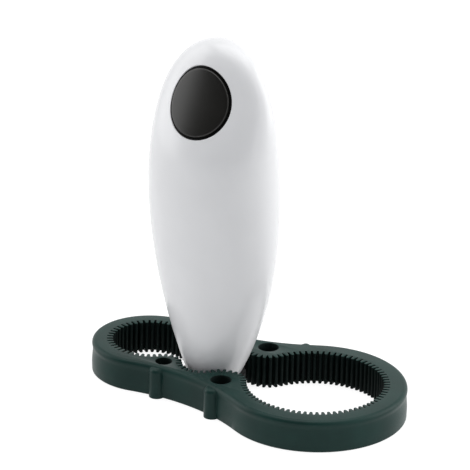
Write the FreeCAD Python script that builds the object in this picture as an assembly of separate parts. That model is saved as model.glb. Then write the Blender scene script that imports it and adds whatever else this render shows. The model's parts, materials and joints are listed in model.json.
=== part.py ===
import FreeCAD, Part
import math
import os

from FreeCAD import Placement, Rotation, Vector

# Electric jar opener: a hand-held egg-shaped drive unit that stands nose down
# in the neck of a toothed rubber grip ring with two loops.
# Millimetres. +Z is up, +X points to the large loop, -Y is the button side.
# The origin is under the middle of the ring, on the surface it lies on.
# The drive unit is built about its own upright axis and then placed in the ring.

# Grip ring: the two loops and their spacing
ring_height = 16.6
loop_spacing = 95.4
large_root_radius = 37.0
small_root_radius = 22.1
large_outer_radius = 45.6
small_outer_radius = 29.5
waist_radius = 100.0
ring_edge_radius = 1.4

# Grip ring: the neck with its four bosses and their holes
large_hole_from_loop = 40.4
large_hole_side = 23.0
large_hole_radius = 4.95
small_hole_from_loop = 19.9
small_hole_side = 19.9
small_hole_radius = 3.95
neck_pocket_fullness = 1.32

# Grip ring: teeth on the whole inner wall
tooth_pitch = 2.9
tooth_depth = 3.2
tooth_root_width = 2.3
tooth_tip_width = 1.35
tooth_crown = 0.25

# Grip ring: upright ribs on the outer wall
rib_drop = 1.6
rib_top_radius = 1.2
waist_rib_radius = 3.5
waist_rib_proud = 3.0
end_rib_radius = 2.9
end_rib_proud = 2.3
rear_rib_radius = 2.4
rear_rib_proud = 1.3
rear_rib_from_loop = 27.5

# Drive unit: where it stands in the ring
unit_off_neck_middle = -0.25
unit_turn = -8.5

# Drive unit: the egg-shaped skin, pulled through rings of poles
# Each row is height, half width, half depth and how far back its centre is.
skin_rows = (
    (9.5, 14.0, 13.6, 0.0),
    (20.0, 19.8, 15.8, 0.0),
    (44.0, 30.0, 19.0, -0.5),
    (86.0, 38.9, 21.5, -1.7),
    (130.0, 36.0, 28.0, -3.0),
    (165.0, 33.8, 9.4, 0.2),
    (184.1, 12.9, 9.9, 2.4),
)
skin_tip_back = 3.2
skin_wall = 2.2
poles_around = 12
seam_back = 10.0
fit_gap = 0.15

# Push button and its well
button_height = 156.4
button_tilt = 26.2
well_radius = 18.15
liner_wall = 0.9
liner_sunk = 0.35
liner_depth = 7.2
liner_floor = 1.2
cap_gap = 0.35
cap_wall = 1.7
cap_proud = 0.9
cap_skirt_depth = 4.0
button_travel = 1.5
stem_radius = 1.7
stem_gap = 0.3
stem_hole_radius = 3.0
well_clearance = 8.0
well_fit = 0.05
join_overlap = 0.2

# Switch and its circuit board, square to the button
board_depth = 11.8
board_thickness = 1.2
board_width = 27.0
board_length = 18.0
board_leg_radius = 2.0
board_leg_out = 10.5
switch_side = 6.2
switch_height = 3.6
plunger_radius = 1.6
plunger_sunk = 1.6

# Gear plates and pillars
lower_plate_height = 36.0
plate_gap = 17.5
plate_thickness = 2.0
pillar_radius = 1.8
pillar_spots = ((-17.3, -7.6), (-17.3, 7.6), (8.8, -11.9), (8.8, 11.9))
running_gap = 0.05
face_gap = 0.4

# Gear train, from the motor to the output shaft
fast_module = 0.5
middle_module = 0.6
slow_module = 0.8
pinion_teeth = 10
fast_wheel_teeth = 36
wheel_teeth = 30
slow_face = 5.0
middle_face = 3.2
fast_face = 2.5
pressure_angle = 25.0
tooth_play = 0.16
tooth_tip_ratio = 0.8
tooth_root_ratio = 1.1
flank_shares = (0, 0.4, 0.7, 1)
second_neck_radius = 2.6
first_neck_radius = 2.0
second_axle_radius = 1.5
first_axle_radius = 1.25

# Output shaft, its bush and seal, and the toothed drive hub under the nose
shaft_radius = 4.0
bush_wall = 2.0
bush_flange = 1.5
bush_length = 8.0
nose_plate_thickness = 3.0
seal_thickness = 1.2
seal_width = 1.6
hub_height = 1.2
hub_face = 7.0
hub_clearance = 0.49
hub_tooth_depth = 2.4
hub_screw_radius = 1.5
hub_screw_length = 11.0
screw_head_ratio = 1.7
screw_head_height = 1.6

# Motor
motor_radius = 10.5
motor_length = 27.0
motor_cap_length = 3.5
motor_cap_radius = 9.5
motor_shaft_radius = 1.0
motor_nose_radius = 3.0
motor_screw_out = 8.0

# Battery tray with two cells side by side
cell_radius = 7.25
cell_length = 50.5
cell_nub_radius = 2.75
cell_nub_length = 1.0
cell_spacing = 16.4
cell_back = 5.9
tray_clearance = 1.0
tray_end = 1.6
tray_wall = 1.5
tray_ear_width = 5.0
tray_ear_length = 10.0
spring_space = 4.0
spring_base_radius = 5.1
contact_thickness = 0.5
contact_width = 4.35
contact_overhang = 11.6

# Battery cover in the rear shell
cover_side_margin = 0.55
cover_low_margin = 1.0
cover_high_margin = 2.8
cover_corner_radius = 4.0
cover_grip_count = 5
cover_grip_pitch = 3.0
cover_grip_proud = 0.6
cover_grip_width = 1.2
cover_grip_length = 18.0

# Screws and the posts that they go into
post_radius = 3.2
shell_screw_radius = 1.25
shell_screw_pairs = ((12.0, 27.0), (24.5, 78.0), (22.0, 140.0))
shell_screw_length = 12.0
small_screw_radius = 1.0
small_screw_length = 5.0

# Leads from the motor to the circuit board
lead_radius = 0.7
lead_side = 4.5
lead_forward = 5.0
lead_straight = 9.0
bend_share = 0.45

# Longer than the object, for cuts that go right through
beyond = 250.0

# Worked-out places
shell_screw_spots = [(side * x, z) for x, z in shell_screw_pairs for side in (-1, 1)]
large_x = (loop_spacing + large_outer_radius + small_outer_radius) / 2 - large_outer_radius
small_x = large_x - loop_spacing
large_hole_x = large_x - large_hole_from_loop
small_hole_x = small_x + small_hole_from_loop
unit_x = (large_hole_x + small_hole_x) / 2 + unit_off_neck_middle
large_boss_radius = math.dist((large_x, 0), (large_hole_x, large_hole_side)) - large_root_radius
small_boss_radius = math.dist((small_x, 0), (small_hole_x, small_hole_side)) - small_root_radius
hole_distance = math.dist((large_hole_x, large_hole_side), (small_hole_x, small_hole_side))
boss_gap = hole_distance - large_boss_radius - small_boss_radius
neck_pocket_radius = neck_pocket_fullness * boss_gap / 2
neck_reach = min(
    math.dist((unit_x, 0), (large_hole_x, large_hole_side)) - large_boss_radius,
    math.dist((unit_x, 0), (small_hole_x, small_hole_side)) - small_boss_radius,
) - tooth_depth
hub_tip_radius = neck_reach - hub_clearance
nose_height = skin_rows[0][0]
motor_plate_height = lower_plate_height + plate_thickness + plate_gap
motor_base = motor_plate_height + plate_thickness
slow_gear_height = lower_plate_height + plate_thickness + 2 * face_gap
middle_gear_height = slow_gear_height + slow_face + 2 * face_gap
fast_gear_height = middle_gear_height + middle_face + face_gap
second_axle_x = slow_module * (wheel_teeth + pinion_teeth) / 2
first_axle_x = second_axle_x - middle_module * (wheel_teeth + pinion_teeth) / 2
motor_x = first_axle_x - fast_module * (fast_wheel_teeth + pinion_teeth) / 2
tray_height = motor_base + motor_length + motor_cap_length + tray_clearance
tray_half_width = cell_spacing / 2 + cell_radius + tray_wall
tray_ear_x = tray_half_width + tray_ear_width / 2
cell_base = tray_height + tray_end + spring_space
tray_front = cell_back - cell_radius - tray_wall
tray_top = cell_base + cell_length + contact_thickness + tray_end
tray_middle = (tray_height + tray_top) / 2
cover_half_width = tray_half_width + cover_side_margin
cover_low = tray_height - cover_low_margin
cover_high = tray_top + cover_high_margin
screw_seat = seam_back + skin_wall / 2
shell_screw_base = screw_seat - shell_screw_length
hub_screw_seat = hub_height + screw_head_height + 2 * face_gap
plunger_low = -board_depth + switch_height - plunger_sunk / 2
plunger_high = -board_depth + switch_height + plunger_sunk


def polar(centre, radius, angle):
    """A point at an angle in degrees about a centre in the XY plane."""
    turn = math.radians(angle)
    return Vector(centre.x + radius * math.cos(turn), centre.y + radius * math.sin(turn), 0)


def heading(start, end):
    """The direction from one point to another, in degrees."""
    return math.degrees(math.atan2(end.y - start.y, end.x - start.x))


def cylinder(radius, height, x=0.0, y=0.0, z=0.0):
    return Part.makeCylinder(radius, height, Vector(x, y, z))


def box(x_range, y_range, z_range):
    size = [high - low for low, high in (x_range, y_range, z_range)]
    return Part.makeBox(*size, Vector(x_range[0], y_range[0], z_range[0]))


def prism(points, height, z=0.0):
    """A solid raised from a closed outline of points."""
    outline = Part.makePolygon(list(points) + [points[0]])
    solid = Part.Face(outline).extrude(Vector(0, 0, height))
    solid.translate(Vector(0, 0, z))
    return solid


def arc_edge(centre, radius, start, sweep):
    """An arc from a start angle through a sweep, in degrees."""
    points = [polar(centre, radius, start + sweep * share) for share in (0, 0.5, 1)]
    return Part.Arc(*points).toShape()


def upright_screw(radius, length, x, y, head_base, up=True):
    """A screw whose head sits on a face at head_base and whose shank runs up or down."""
    head = cylinder(radius * screw_head_ratio, screw_head_height, x, y, head_base)
    shank = cylinder(radius, length, x, y, head_base - length)
    screw = head.fuse(shank)
    if up:
        screw.rotate(Vector(x, y, head_base), Vector(1, 0, 0), 180)
    return screw.removeSplitter()


# Grip ring

def tangent_circle(first, first_radius, second, second_radius, radius, side):
    """Centre of a circle that touches two others from outside, on one side of their line."""
    span = second.sub(first)
    first_reach = first_radius + radius
    second_reach = second_radius + radius
    along = (first_reach ** 2 - second_reach ** 2 + span.Length ** 2) / (2 * span.Length)
    across = math.sqrt(first_reach ** 2 - along ** 2)
    direction = Vector(span).normalize()
    normal = Vector(-direction.y, direction.x, 0)
    return first + direction * along + normal * (across * side)


def neck_layout():
    """Centres of the circles that shape the ring's inner wall."""
    large = Vector(large_x, 0, 0)
    small = Vector(small_x, 0, 0)
    large_hole = Vector(large_hole_x, large_hole_side, 0)
    small_hole = Vector(small_hole_x, small_hole_side, 0)
    pocket = tangent_circle(small_hole, small_boss_radius, large_hole, large_boss_radius,
                            neck_pocket_radius, -1)
    return large, small, large_hole, small_hole, pocket


def mirrored(point):
    return Vector(point.x, -point.y, 0)


def swept(start, end, turning):
    """The turn from one heading to another, with the sign of turning."""
    turn = (end - start) % 360
    return turn if turning > 0 else turn - 360


def inner_arcs():
    """The root line of the inner wall: centre, radius, start angle and sweep of each arc."""
    large, small, large_hole, small_hole, pocket = neck_layout()
    chain = [
        (large, large_root_radius, mirrored(large_hole), large_hole, 1),
        (large_hole, large_boss_radius, large, pocket, -1),
        (pocket, neck_pocket_radius, large_hole, small_hole, 1),
        (small_hole, small_boss_radius, pocket, small, -1),
        (small, small_root_radius, small_hole, mirrored(small_hole), 1),
        (mirrored(small_hole), small_boss_radius, small, mirrored(pocket), -1),
        (mirrored(pocket), neck_pocket_radius, mirrored(small_hole), mirrored(large_hole), 1),
        (mirrored(large_hole), large_boss_radius, mirrored(pocket), large, -1),
    ]
    arcs = []
    for centre, radius, before, after, turning in chain:
        start = heading(centre, before)
        arcs.append((centre, radius, start, swept(start, heading(centre, after), turning)))
    return arcs


def wall_point(arcs, distance, height):
    """The point at a distance along the middle of the teeth and a height above their roots."""
    for centre, radius, start, sweep in arcs:
        inward = math.copysign(1, sweep)
        length = math.radians(abs(sweep)) * (radius - inward * tooth_depth / 2)
        if distance <= length:
            return polar(centre, radius - inward * height, start + sweep * distance / length)
        distance -= length
    return wall_point(arcs, distance, height)


def toothed_wire():
    """The closed inner outline of the ring, with a rounded tooth at every pitch."""
    arcs = inner_arcs()
    total = 0.0
    for centre, radius, start, sweep in arcs:
        total += math.radians(abs(sweep)) * (radius - math.copysign(1, sweep) * tooth_depth / 2)
    count = round(total / tooth_pitch)
    pitch = total / count
    edges = []
    corners = []
    for tooth in range(count):
        middle = (tooth + 0.5) * pitch
        corners.append((
            wall_point(arcs, middle - tooth_root_width / 2, 0),
            wall_point(arcs, middle - tooth_tip_width / 2, tooth_depth - tooth_crown),
            wall_point(arcs, middle, tooth_depth),
            wall_point(arcs, middle + tooth_tip_width / 2, tooth_depth - tooth_crown),
            wall_point(arcs, middle + tooth_root_width / 2, 0),
        ))
    for tooth, (low, rise, top, fall, end) in enumerate(corners):
        following = corners[(tooth + 1) % count][0]
        edges.append(Part.LineSegment(low, rise).toShape())
        edges.append(Part.Arc(rise, top, fall).toShape())
        edges.append(Part.LineSegment(fall, end).toShape())
        edges.append(Part.LineSegment(end, following).toShape())
    return Part.Wire(edges)


def waist_centre():
    large = Vector(large_x, 0, 0)
    small = Vector(small_x, 0, 0)
    return tangent_circle(small, small_outer_radius, large, large_outer_radius, waist_radius, 1)


def outer_wire():
    """The ring's outer outline: two round ends joined by hollow waists."""
    large = Vector(large_x, 0, 0)
    small = Vector(small_x, 0, 0)
    waist = waist_centre()
    large_turn = heading(large, waist)
    small_turn = heading(small, waist)
    edges = [arc_edge(large, large_outer_radius, -large_turn, 2 * large_turn)]
    start = heading(waist, large)
    edges.append(arc_edge(waist, waist_radius, start, heading(waist, small) - start))
    edges.append(arc_edge(small, small_outer_radius, small_turn, 360 - 2 * small_turn))
    other = mirrored(waist)
    start = heading(other, small)
    edges.append(arc_edge(other, waist_radius, start, heading(other, large) - start))
    return Part.Wire(edges)


def waist_wall(x):
    """How far from the middle line the outer wall is, within the waist."""
    waist = waist_centre()
    return waist.y - math.sqrt(waist_radius ** 2 - (x - waist.x) ** 2)


def outer_rib(x, side, radius, proud, height):
    """A half-round upright rib on the waist, with a rounded top."""
    y = side * (waist_wall(x) + proud - radius)
    rib = cylinder(radius, height, x, y)
    top = [edge for edge in rib.Edges if edge.BoundBox.ZMin > height / 2 and edge.Closed]
    return rib.makeFillet(rib_top_radius, top)


def grip_ring():
    large_hole, small_hole = neck_layout()[2:4]
    ring = Part.Face(outer_wire()).extrude(Vector(0, 0, ring_height))
    top = [edge for edge in ring.Edges if edge.BoundBox.ZMin > ring_height / 2]
    ring = ring.makeFillet(ring_edge_radius, top)
    low_rib = ring_height - rib_drop
    for side in (-1, 1):
        ribs = [
            outer_rib(large_hole.x, side, waist_rib_radius, waist_rib_proud, low_rib),
            outer_rib(small_hole.x, side, end_rib_radius, end_rib_proud, low_rib),
        ]
        ring = ring.fuse(ribs)
    rear_x = large_x - rear_rib_from_loop
    ring = ring.fuse(outer_rib(rear_x, 1, rear_rib_radius, rear_rib_proud, ring_height))
    opening = Part.Face(toothed_wire()).extrude(Vector(0, 0, ring_height))
    holes = []
    for side in (-1, 1):
        holes.append(cylinder(large_hole_radius, ring_height, large_hole.x, side * large_hole.y))
        holes.append(cylinder(small_hole_radius, ring_height, small_hole.x, side * small_hole.y))
    return ring.cut([opening] + holes)


# Skin of the drive unit

def egg(inset=0.0):
    """The drive unit's outer shape as a solid, drawn in by an inset."""
    # A cubic loop runs inside its poles, so they stand out by this much
    scale = 6 / (4 + 2 * math.cos(2 * math.pi / poles_around))
    rows = [(z, a - inset, b - inset, back) for z, a, b, back in skin_rows]
    tip, a, b, back = rows[-1]
    rows[-1] = (tip - inset, a, b, back)
    rows.append((tip - inset, 0.0, 0.0, skin_tip_back))
    columns = []
    for step in range(poles_around):
        turn = 2 * math.pi * step / poles_around
        columns.append([
            Vector(scale * a * math.cos(turn), back + scale * b * math.sin(turn), z)
            for z, a, b, back in rows
        ])
    spans = len(rows) - 3
    surface = Part.BSplineSurface()
    surface.buildFromPolesMultsKnots(
        columns,
        [1] * (poles_around + 1),
        [4] + [1] * (spans - 1) + [4],
        list(range(poles_around + 1)),
        list(range(spans + 1)),
        True,
        False,
        3,
        3,
    )
    side = surface.toShape()
    rim = [edge for edge in side.Edges if edge.BoundBox.ZMax < nose_height + fit_gap]
    shell = Part.Shell([side, Part.Face(Part.Wire(rim))])
    shell.sewShape()
    return Part.Solid(shell)


def button_frame():
    """The placement whose origin is on the skin under the button and whose +Z is outward."""
    probe = Part.LineSegment(Vector(0, -beyond, button_height), Vector(0, 0, button_height)).toShape()
    inside = probe.common(egg())
    front = inside.BoundBox.YMin
    tilt = Rotation(Vector(1, 0, 0), 90 - button_tilt)
    return Placement(Vector(0, front, button_height), tilt)


def along_button(shape):
    """Moves a shape from the button's own frame to the drive unit's."""
    shape.Placement = button_frame().multiply(shape.Placement)
    return shape


def button_cylinder(radius, low, high, x=0.0, y=0.0):
    """A cylinder square to the button, from a low to a high level over the skin."""
    return along_button(cylinder(radius, high - low, x, y, low))


def behind_seam():
    """Everything behind the seam between the shells."""
    return box((-beyond, beyond), (seam_back, beyond), (0, beyond))


def slab(low, height):
    """Everything between two heights."""
    return box((-beyond, beyond), (-beyond, beyond), (low, low + height))


def front_shell():
    hollow = egg().cut(egg(skin_wall))
    front = hollow.cut(behind_seam())
    front = front.cut(button_cylinder(well_radius + well_fit, -well_clearance, well_clearance))
    posts = [screw_post(x, z, -beyond, seam_back) for x, z in shell_screw_spots]
    posts += [screw_post(side * tray_ear_x, tray_middle, -beyond, tray_front) for side in (-1, 1)]
    front = front.fuse(posts)
    holes = [lying_cylinder(shell_screw_radius, x, z, shell_screw_base, beyond)
             for x, z in shell_screw_spots]
    holes += [lying_cylinder(small_screw_radius, side * tray_ear_x, tray_middle,
                             tray_front - small_screw_length, beyond) for side in (-1, 1)]
    return front.cut(holes)


def lying_cylinder(radius, x, z, front, back):
    """A cylinder along Y."""
    return Part.makeCylinder(radius, back - front, Vector(x, front, z), Vector(0, 1, 0))


def screw_post(x, z, front, back):
    """A post inside the skin, whose end is buried in the wall."""
    return lying_cylinder(post_radius, x, z, front, back).common(egg(skin_wall / 2))


def cover_box(gap):
    """The block that the battery cover is cut from, grown by a gap."""
    wide = cover_half_width + gap
    block = box((-wide, wide), (seam_back + skin_wall, beyond), (cover_low - gap, cover_high + gap))
    corners = [edge for edge in block.Edges if edge.BoundBox.YLength > skin_wall]
    return block.makeFillet(cover_corner_radius + gap, corners)


def rear_shell():
    hollow = egg().cut(egg(skin_wall))
    rear = hollow.common(behind_seam())
    posts = [screw_post(x, z, seam_back, beyond) for x, z in shell_screw_spots]
    rear = rear.fuse(posts)
    rear = rear.cut(cover_box(fit_gap))
    holes = []
    for x, z in shell_screw_spots:
        holes.append(lying_cylinder(shell_screw_radius + fit_gap, x, z, 0, beyond))
        head = shell_screw_radius * screw_head_ratio + fit_gap
        holes.append(lying_cylinder(head, x, z, screw_seat, beyond))
    return rear.cut(holes)


def battery_cover():
    hollow = egg().cut(egg(skin_wall))
    cover = hollow.common(cover_box(0))
    raised = egg(-cover_grip_proud).cut(egg(skin_wall / 2))
    half = cover_grip_length / 2
    for step in range(cover_grip_count):
        low = cover_high - cover_grip_pitch * (step + 2)
        band = box((-half, half), (seam_back, beyond), (low, low + cover_grip_width))
        cover = cover.fuse(raised.common(band))
    return cover


def shell_screws():
    screws = []
    for x, z in shell_screw_spots:
        screw = upright_screw(shell_screw_radius, shell_screw_length, 0, 0, 0, up=False)
        screw.rotate(Vector(0, 0, 0), Vector(1, 0, 0), -90)
        screw.translate(Vector(x, screw_seat, z))
        screws.append(screw)
    return Part.makeCompound(screws)


# Push button, switch and circuit board

def button_liner():
    """A cup in the shell's well: the dark ring around the button, its wall and its floor."""
    outer = well_radius
    inner = outer - liner_wall
    cup = button_cylinder(outer, -liner_depth, well_clearance)
    cup = cup.cut(button_cylinder(inner, liner_floor - liner_depth, well_clearance))
    cup = cup.cut(button_cylinder(stem_hole_radius, -board_depth, 0))
    leg_top = join_overlap - liner_depth
    legs = [button_cylinder(board_leg_radius, -board_depth, leg_top, side * board_leg_out)
            for side in (-1, 1)]
    cup = cup.fuse(legs)
    pilots = [button_cylinder(small_screw_radius, -board_depth, small_screw_length - board_depth,
                              side * board_leg_out) for side in (-1, 1)]
    return cup.cut(pilots).common(egg(liner_sunk))


def button_cap():
    """A cap that follows the skin, with a skirt and a stem down to the switch."""
    radius = well_radius - liner_wall - cap_gap
    cap = button_cylinder(radius, -cap_skirt_depth, well_clearance).common(egg(-cap_proud))
    inside = button_cylinder(radius - cap_wall, -board_depth, well_clearance)
    cap = cap.cut(inside.common(egg(cap_wall - cap_proud)))
    stem_end = plunger_high + stem_gap
    stem = button_cylinder(stem_radius, stem_end, cap_proud - cap_wall + join_overlap)
    return cap.fuse(stem)


def circuit_board():
    board = Part.makeBox(board_width, board_length, board_thickness)
    board.translate(Vector(-board_width / 2, -board_length / 2, -board_depth - board_thickness))
    board = along_button(board)
    holes = [button_cylinder(small_screw_radius + fit_gap, -2 * board_depth, 0,
                             side * board_leg_out) for side in (-1, 1)]
    return board.cut(holes)


def switch_body():
    body = Part.makeBox(switch_side, switch_side, switch_height)
    body.translate(Vector(-switch_side / 2, -switch_side / 2, -board_depth))
    body = along_button(body)
    bore_low = plunger_low - button_travel - face_gap
    bore = button_cylinder(plunger_radius + running_gap, bore_low, 0)
    return body.cut(bore)


def switch_plunger():
    return button_cylinder(plunger_radius, plunger_low, plunger_high)


def board_screws():
    screws = []
    for side in (-1, 1):
        screw = upright_screw(small_screw_radius, small_screw_length, 0, 0, 0, up=True)
        screw.translate(Vector(side * board_leg_out, 0, -board_depth - board_thickness))
        screws.append(along_button(screw))
    return Part.makeCompound(screws)


# Gears

def involute(angle):
    return math.tan(angle) - angle


def gear(teeth, module, face, z, x=0.0, turn=0.0):
    """A spur gear with involute flanks. A tooth points along +X before it is turned."""
    pitch_radius = teeth * module / 2
    pressure = math.radians(pressure_angle)
    base = pitch_radius * math.cos(pressure)
    tip = pitch_radius + tooth_tip_ratio * module
    root = pitch_radius - tooth_root_ratio * module
    half = math.pi / (2 * teeth) - tooth_play / (2 * pitch_radius)
    low = max(base, root + running_gap)
    flank = []
    for share in flank_shares:
        radius = low + (tip - low) * share
        drop = involute(math.acos(min(1, base / radius)))
        flank.append((radius, half + involute(pressure) - drop))
    flank.insert(0, (root, flank[0][1]))
    points = []
    for tooth in range(teeth):
        middle = math.radians(turn) + 2 * math.pi * tooth / teeth
        for radius, angle in flank:
            points.append(polar(Vector(x, 0, 0), radius, math.degrees(middle - angle)))
        for radius, angle in reversed(flank):
            points.append(polar(Vector(x, 0, 0), radius, math.degrees(middle + angle)))
    return prism(points, face, z)


def half_tooth(teeth):
    return 180 / teeth


def output_gear():
    """The last wheel of the train, on the output shaft. A gap faces the second gear."""
    wheel = gear(wheel_teeth, slow_module, slow_face, slow_gear_height, turn=half_tooth(wheel_teeth))
    return wheel.cut(cylinder(shaft_radius, beyond))


def compound_gear(x, radius, wheel, pinion, bore):
    """A wheel and a pinion in one piece. Each is a tuple of teeth, module, face, height and turn."""
    teeth, module, face, height, turn = pinion
    small = gear(teeth, module, face, height, x, turn)
    teeth, module, face, height, turn = wheel
    large = gear(teeth, module, face, height, x, turn)
    low = min(pinion[3] + pinion[2], wheel[3] + wheel[2])
    high = max(pinion[3], wheel[3])
    solid = small.fuse(large)
    if high > low:
        solid = solid.fuse(cylinder(radius, high - low, x, 0, low))
    return solid.cut(cylinder(bore + running_gap, beyond, x, 0))


def second_gear():
    wheel = (wheel_teeth, middle_module, middle_face, middle_gear_height, 180)
    pinion = (pinion_teeth, slow_module, slow_face, slow_gear_height, 180)
    return compound_gear(second_axle_x, second_neck_radius, wheel, pinion, second_axle_radius)


def first_gear():
    wheel = (fast_wheel_teeth, fast_module, fast_face, fast_gear_height, 180)
    pinion = (pinion_teeth, middle_module, middle_face, middle_gear_height, half_tooth(pinion_teeth))
    return compound_gear(first_axle_x, first_neck_radius, wheel, pinion, first_axle_radius)


def motor_pinion():
    pinion = gear(pinion_teeth, fast_module, fast_face, fast_gear_height, motor_x,
                  half_tooth(pinion_teeth))
    return pinion.cut(cylinder(motor_shaft_radius, beyond, motor_x, 0))


def gear_plate(height):
    """A plate that fills the shell at its height, with holes for the pillars' screws."""
    plate = egg(skin_wall + fit_gap).common(slab(height, plate_thickness))
    holes = [cylinder(small_screw_radius + fit_gap, plate_thickness, x, y, height)
             for x, y in pillar_spots]
    return plate.cut(holes)


def lower_gear_plate():
    plate = gear_plate(lower_plate_height)
    plate = plate.cut(cylinder(shaft_radius + running_gap, plate_thickness, 0, 0, lower_plate_height))
    return plate.cut(cylinder(second_axle_radius, plate_thickness, second_axle_x, 0, lower_plate_height))


def upper_gear_plate():
    plate = gear_plate(motor_plate_height)
    base = motor_plate_height
    holes = [
        cylinder(second_axle_radius, plate_thickness, second_axle_x, 0, base),
        cylinder(first_axle_radius, plate_thickness, first_axle_x, 0, base),
        cylinder(motor_nose_radius + fit_gap, plate_thickness, motor_x, 0, base),
    ]
    for side in (-1, 1):
        holes.append(cylinder(small_screw_radius + fit_gap, plate_thickness,
                              motor_x, side * motor_screw_out, base))
    plate = plate.cut(holes)
    posts = [lying_cylinder(post_radius + fit_gap, x, z, -beyond, beyond)
             for x, z in shell_screw_spots]
    return plate.cut(posts)


def gear_pillars():
    pillars = []
    for x, y in pillar_spots:
        pillar = cylinder(pillar_radius, plate_gap, x, y, lower_plate_height + plate_thickness)
        pillars.append(pillar.cut(cylinder(small_screw_radius, beyond, x, y)))
    return Part.makeCompound(pillars)


def plate_screws():
    """Screws into both ends of each pillar."""
    screws = []
    for x, y in pillar_spots:
        screws.append(upright_screw(small_screw_radius, small_screw_length, x, y, lower_plate_height))
        screws.append(upright_screw(small_screw_radius, small_screw_length, x, y,
                                    motor_plate_height + plate_thickness, up=False))
    return Part.makeCompound(screws)


def second_axle():
    return cylinder(second_axle_radius, plate_gap + 2 * plate_thickness, second_axle_x, 0,
                    lower_plate_height)


def first_axle():
    length = motor_plate_height + plate_thickness - middle_gear_height
    return cylinder(first_axle_radius, length, first_axle_x, 0, middle_gear_height)


# Output shaft and drive hub

def output_shaft():
    top = slow_gear_height + slow_face
    shaft = cylinder(shaft_radius, top - hub_screw_seat, 0, 0, hub_screw_seat)
    return shaft.cut(cylinder(hub_screw_radius, hub_screw_length, 0, 0, hub_screw_seat))


def hub_screw():
    return upright_screw(hub_screw_radius, hub_screw_length, 0, 0, hub_screw_seat)


def drive_hub():
    """A toothed roller with the same pitch as the grip ring."""
    middle = hub_tip_radius - hub_tooth_depth / 2
    count = round(2 * math.pi * middle / tooth_pitch)
    root = hub_tip_radius - hub_tooth_depth
    points = []
    for tooth in range(count):
        turn = 360 * tooth / count
        for radius, width, side in (
            (root, tooth_root_width, -1),
            (hub_tip_radius, tooth_tip_width, -1),
            (hub_tip_radius, tooth_tip_width, 1),
            (root, tooth_root_width, 1),
        ):
            lean = math.degrees(width / 2 / radius)
            points.append(polar(Vector(0, 0, 0), radius, turn + side * lean))
    hub = prism(points, hub_face, hub_height)
    hub = hub.cut(cylinder(shaft_radius, beyond, 0, 0, hub_screw_seat))
    recess = hub_screw_radius * screw_head_ratio + fit_gap
    return hub.cut(cylinder(recess, hub_screw_seat - hub_height, 0, 0, hub_height))


def nose_plate():
    """The plate that closes the nose, with a bore for the bush."""
    plate = egg(skin_wall + well_fit).common(slab(nose_height, nose_plate_thickness))
    return plate.cut(cylinder(shaft_radius + running_gap + bush_wall, beyond))


def nose_bush():
    """A flanged bush for the output shaft, pushed in from inside."""
    radius = shaft_radius + running_gap + bush_wall
    top = nose_height + nose_plate_thickness
    bush = cylinder(radius, bush_length, 0, 0, nose_height)
    bush = bush.fuse(cylinder(radius + bush_flange, bush_flange, 0, 0, top))
    return bush.cut(cylinder(shaft_radius + running_gap, beyond))


def shaft_seal():
    """A ring under the nose plate that keeps liquid off the bush."""
    inner = shaft_radius + running_gap
    ring = cylinder(inner + seal_width, seal_thickness, 0, 0, nose_height - seal_thickness)
    return ring.cut(cylinder(inner, beyond))


# Motor

def motor_can():
    can = cylinder(motor_radius, motor_length, motor_x, 0, motor_base)
    nose = cylinder(motor_nose_radius, plate_thickness - face_gap, motor_x, 0,
                    motor_base - plate_thickness + face_gap)
    can = can.fuse(nose)
    can = can.cut(cylinder(motor_shaft_radius + running_gap, beyond, motor_x, 0))
    pilots = [cylinder(small_screw_radius, small_screw_length, motor_x, side * motor_screw_out, motor_base)
              for side in (-1, 1)]
    return can.cut(pilots)


def motor_end_cap():
    base = motor_base + motor_length
    cap = cylinder(motor_cap_radius, motor_cap_length, motor_x, 0, base)
    return cap.cut(cylinder(motor_shaft_radius + running_gap, motor_cap_length / 2, motor_x, 0, base))


def motor_shaft():
    low = fast_gear_height - face_gap
    high = motor_base + motor_length + motor_cap_length / 2 - face_gap
    return cylinder(motor_shaft_radius, high - low, motor_x, 0, low)


def motor_screws():
    screws = [upright_screw(small_screw_radius, small_screw_length, motor_x, side * motor_screw_out,
                            motor_plate_height) for side in (-1, 1)]
    return Part.makeCompound(screws)


# Batteries

def battery_tray():
    """Two half-round troughs with end walls and an ear on each side."""
    wide = tray_half_width
    tray = box((-wide, wide), (tray_front, cell_back), (tray_height, tray_top))
    troughs = [cylinder(cell_radius + fit_gap, tray_top - tray_height - 2 * tray_end,
                        side * cell_spacing / 2, cell_back, tray_height + tray_end) for side in (-1, 1)]
    ear_low = tray_middle - tray_ear_length / 2
    reach = wide + tray_ear_width
    ears = box((-reach, reach), (tray_front, tray_front + tray_wall),
               (ear_low, ear_low + tray_ear_length))
    tray = tray.fuse(ears).cut(troughs + [contact_plate()])
    holes = [lying_cylinder(small_screw_radius + fit_gap, side * tray_ear_x, tray_middle,
                            -beyond, beyond) for side in (-1, 1)]
    return tray.cut(holes)


def battery_cell(side):
    """A cell with its nub up on one side and down on the other."""
    x = side * cell_spacing / 2
    length = cell_length - cell_nub_length
    base = cell_base if side < 0 else cell_base + cell_nub_length
    nub_base = cell_base + length if side < 0 else cell_base
    can = cylinder(cell_radius, length, x, cell_back, base)
    return can.fuse(cylinder(cell_nub_radius, cell_nub_length, x, cell_back, nub_base))


def cell_springs():
    """A cone-shaped contact spring under each cell, as a closed outer shape."""
    springs = []
    for side in (-1, 1):
        cone = Part.makeCone(spring_base_radius, cell_nub_radius, spring_space,
                             Vector(side * cell_spacing / 2, cell_back, tray_height + tray_end))
        springs.append(cone)
    return Part.makeCompound(springs)


def contact_plate():
    reach = (cell_spacing + contact_overhang) / 2
    top = cell_base + cell_length
    front = cell_back - contact_width
    return box((-reach, reach), (front, cell_back), (top, top + contact_thickness))


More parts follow.
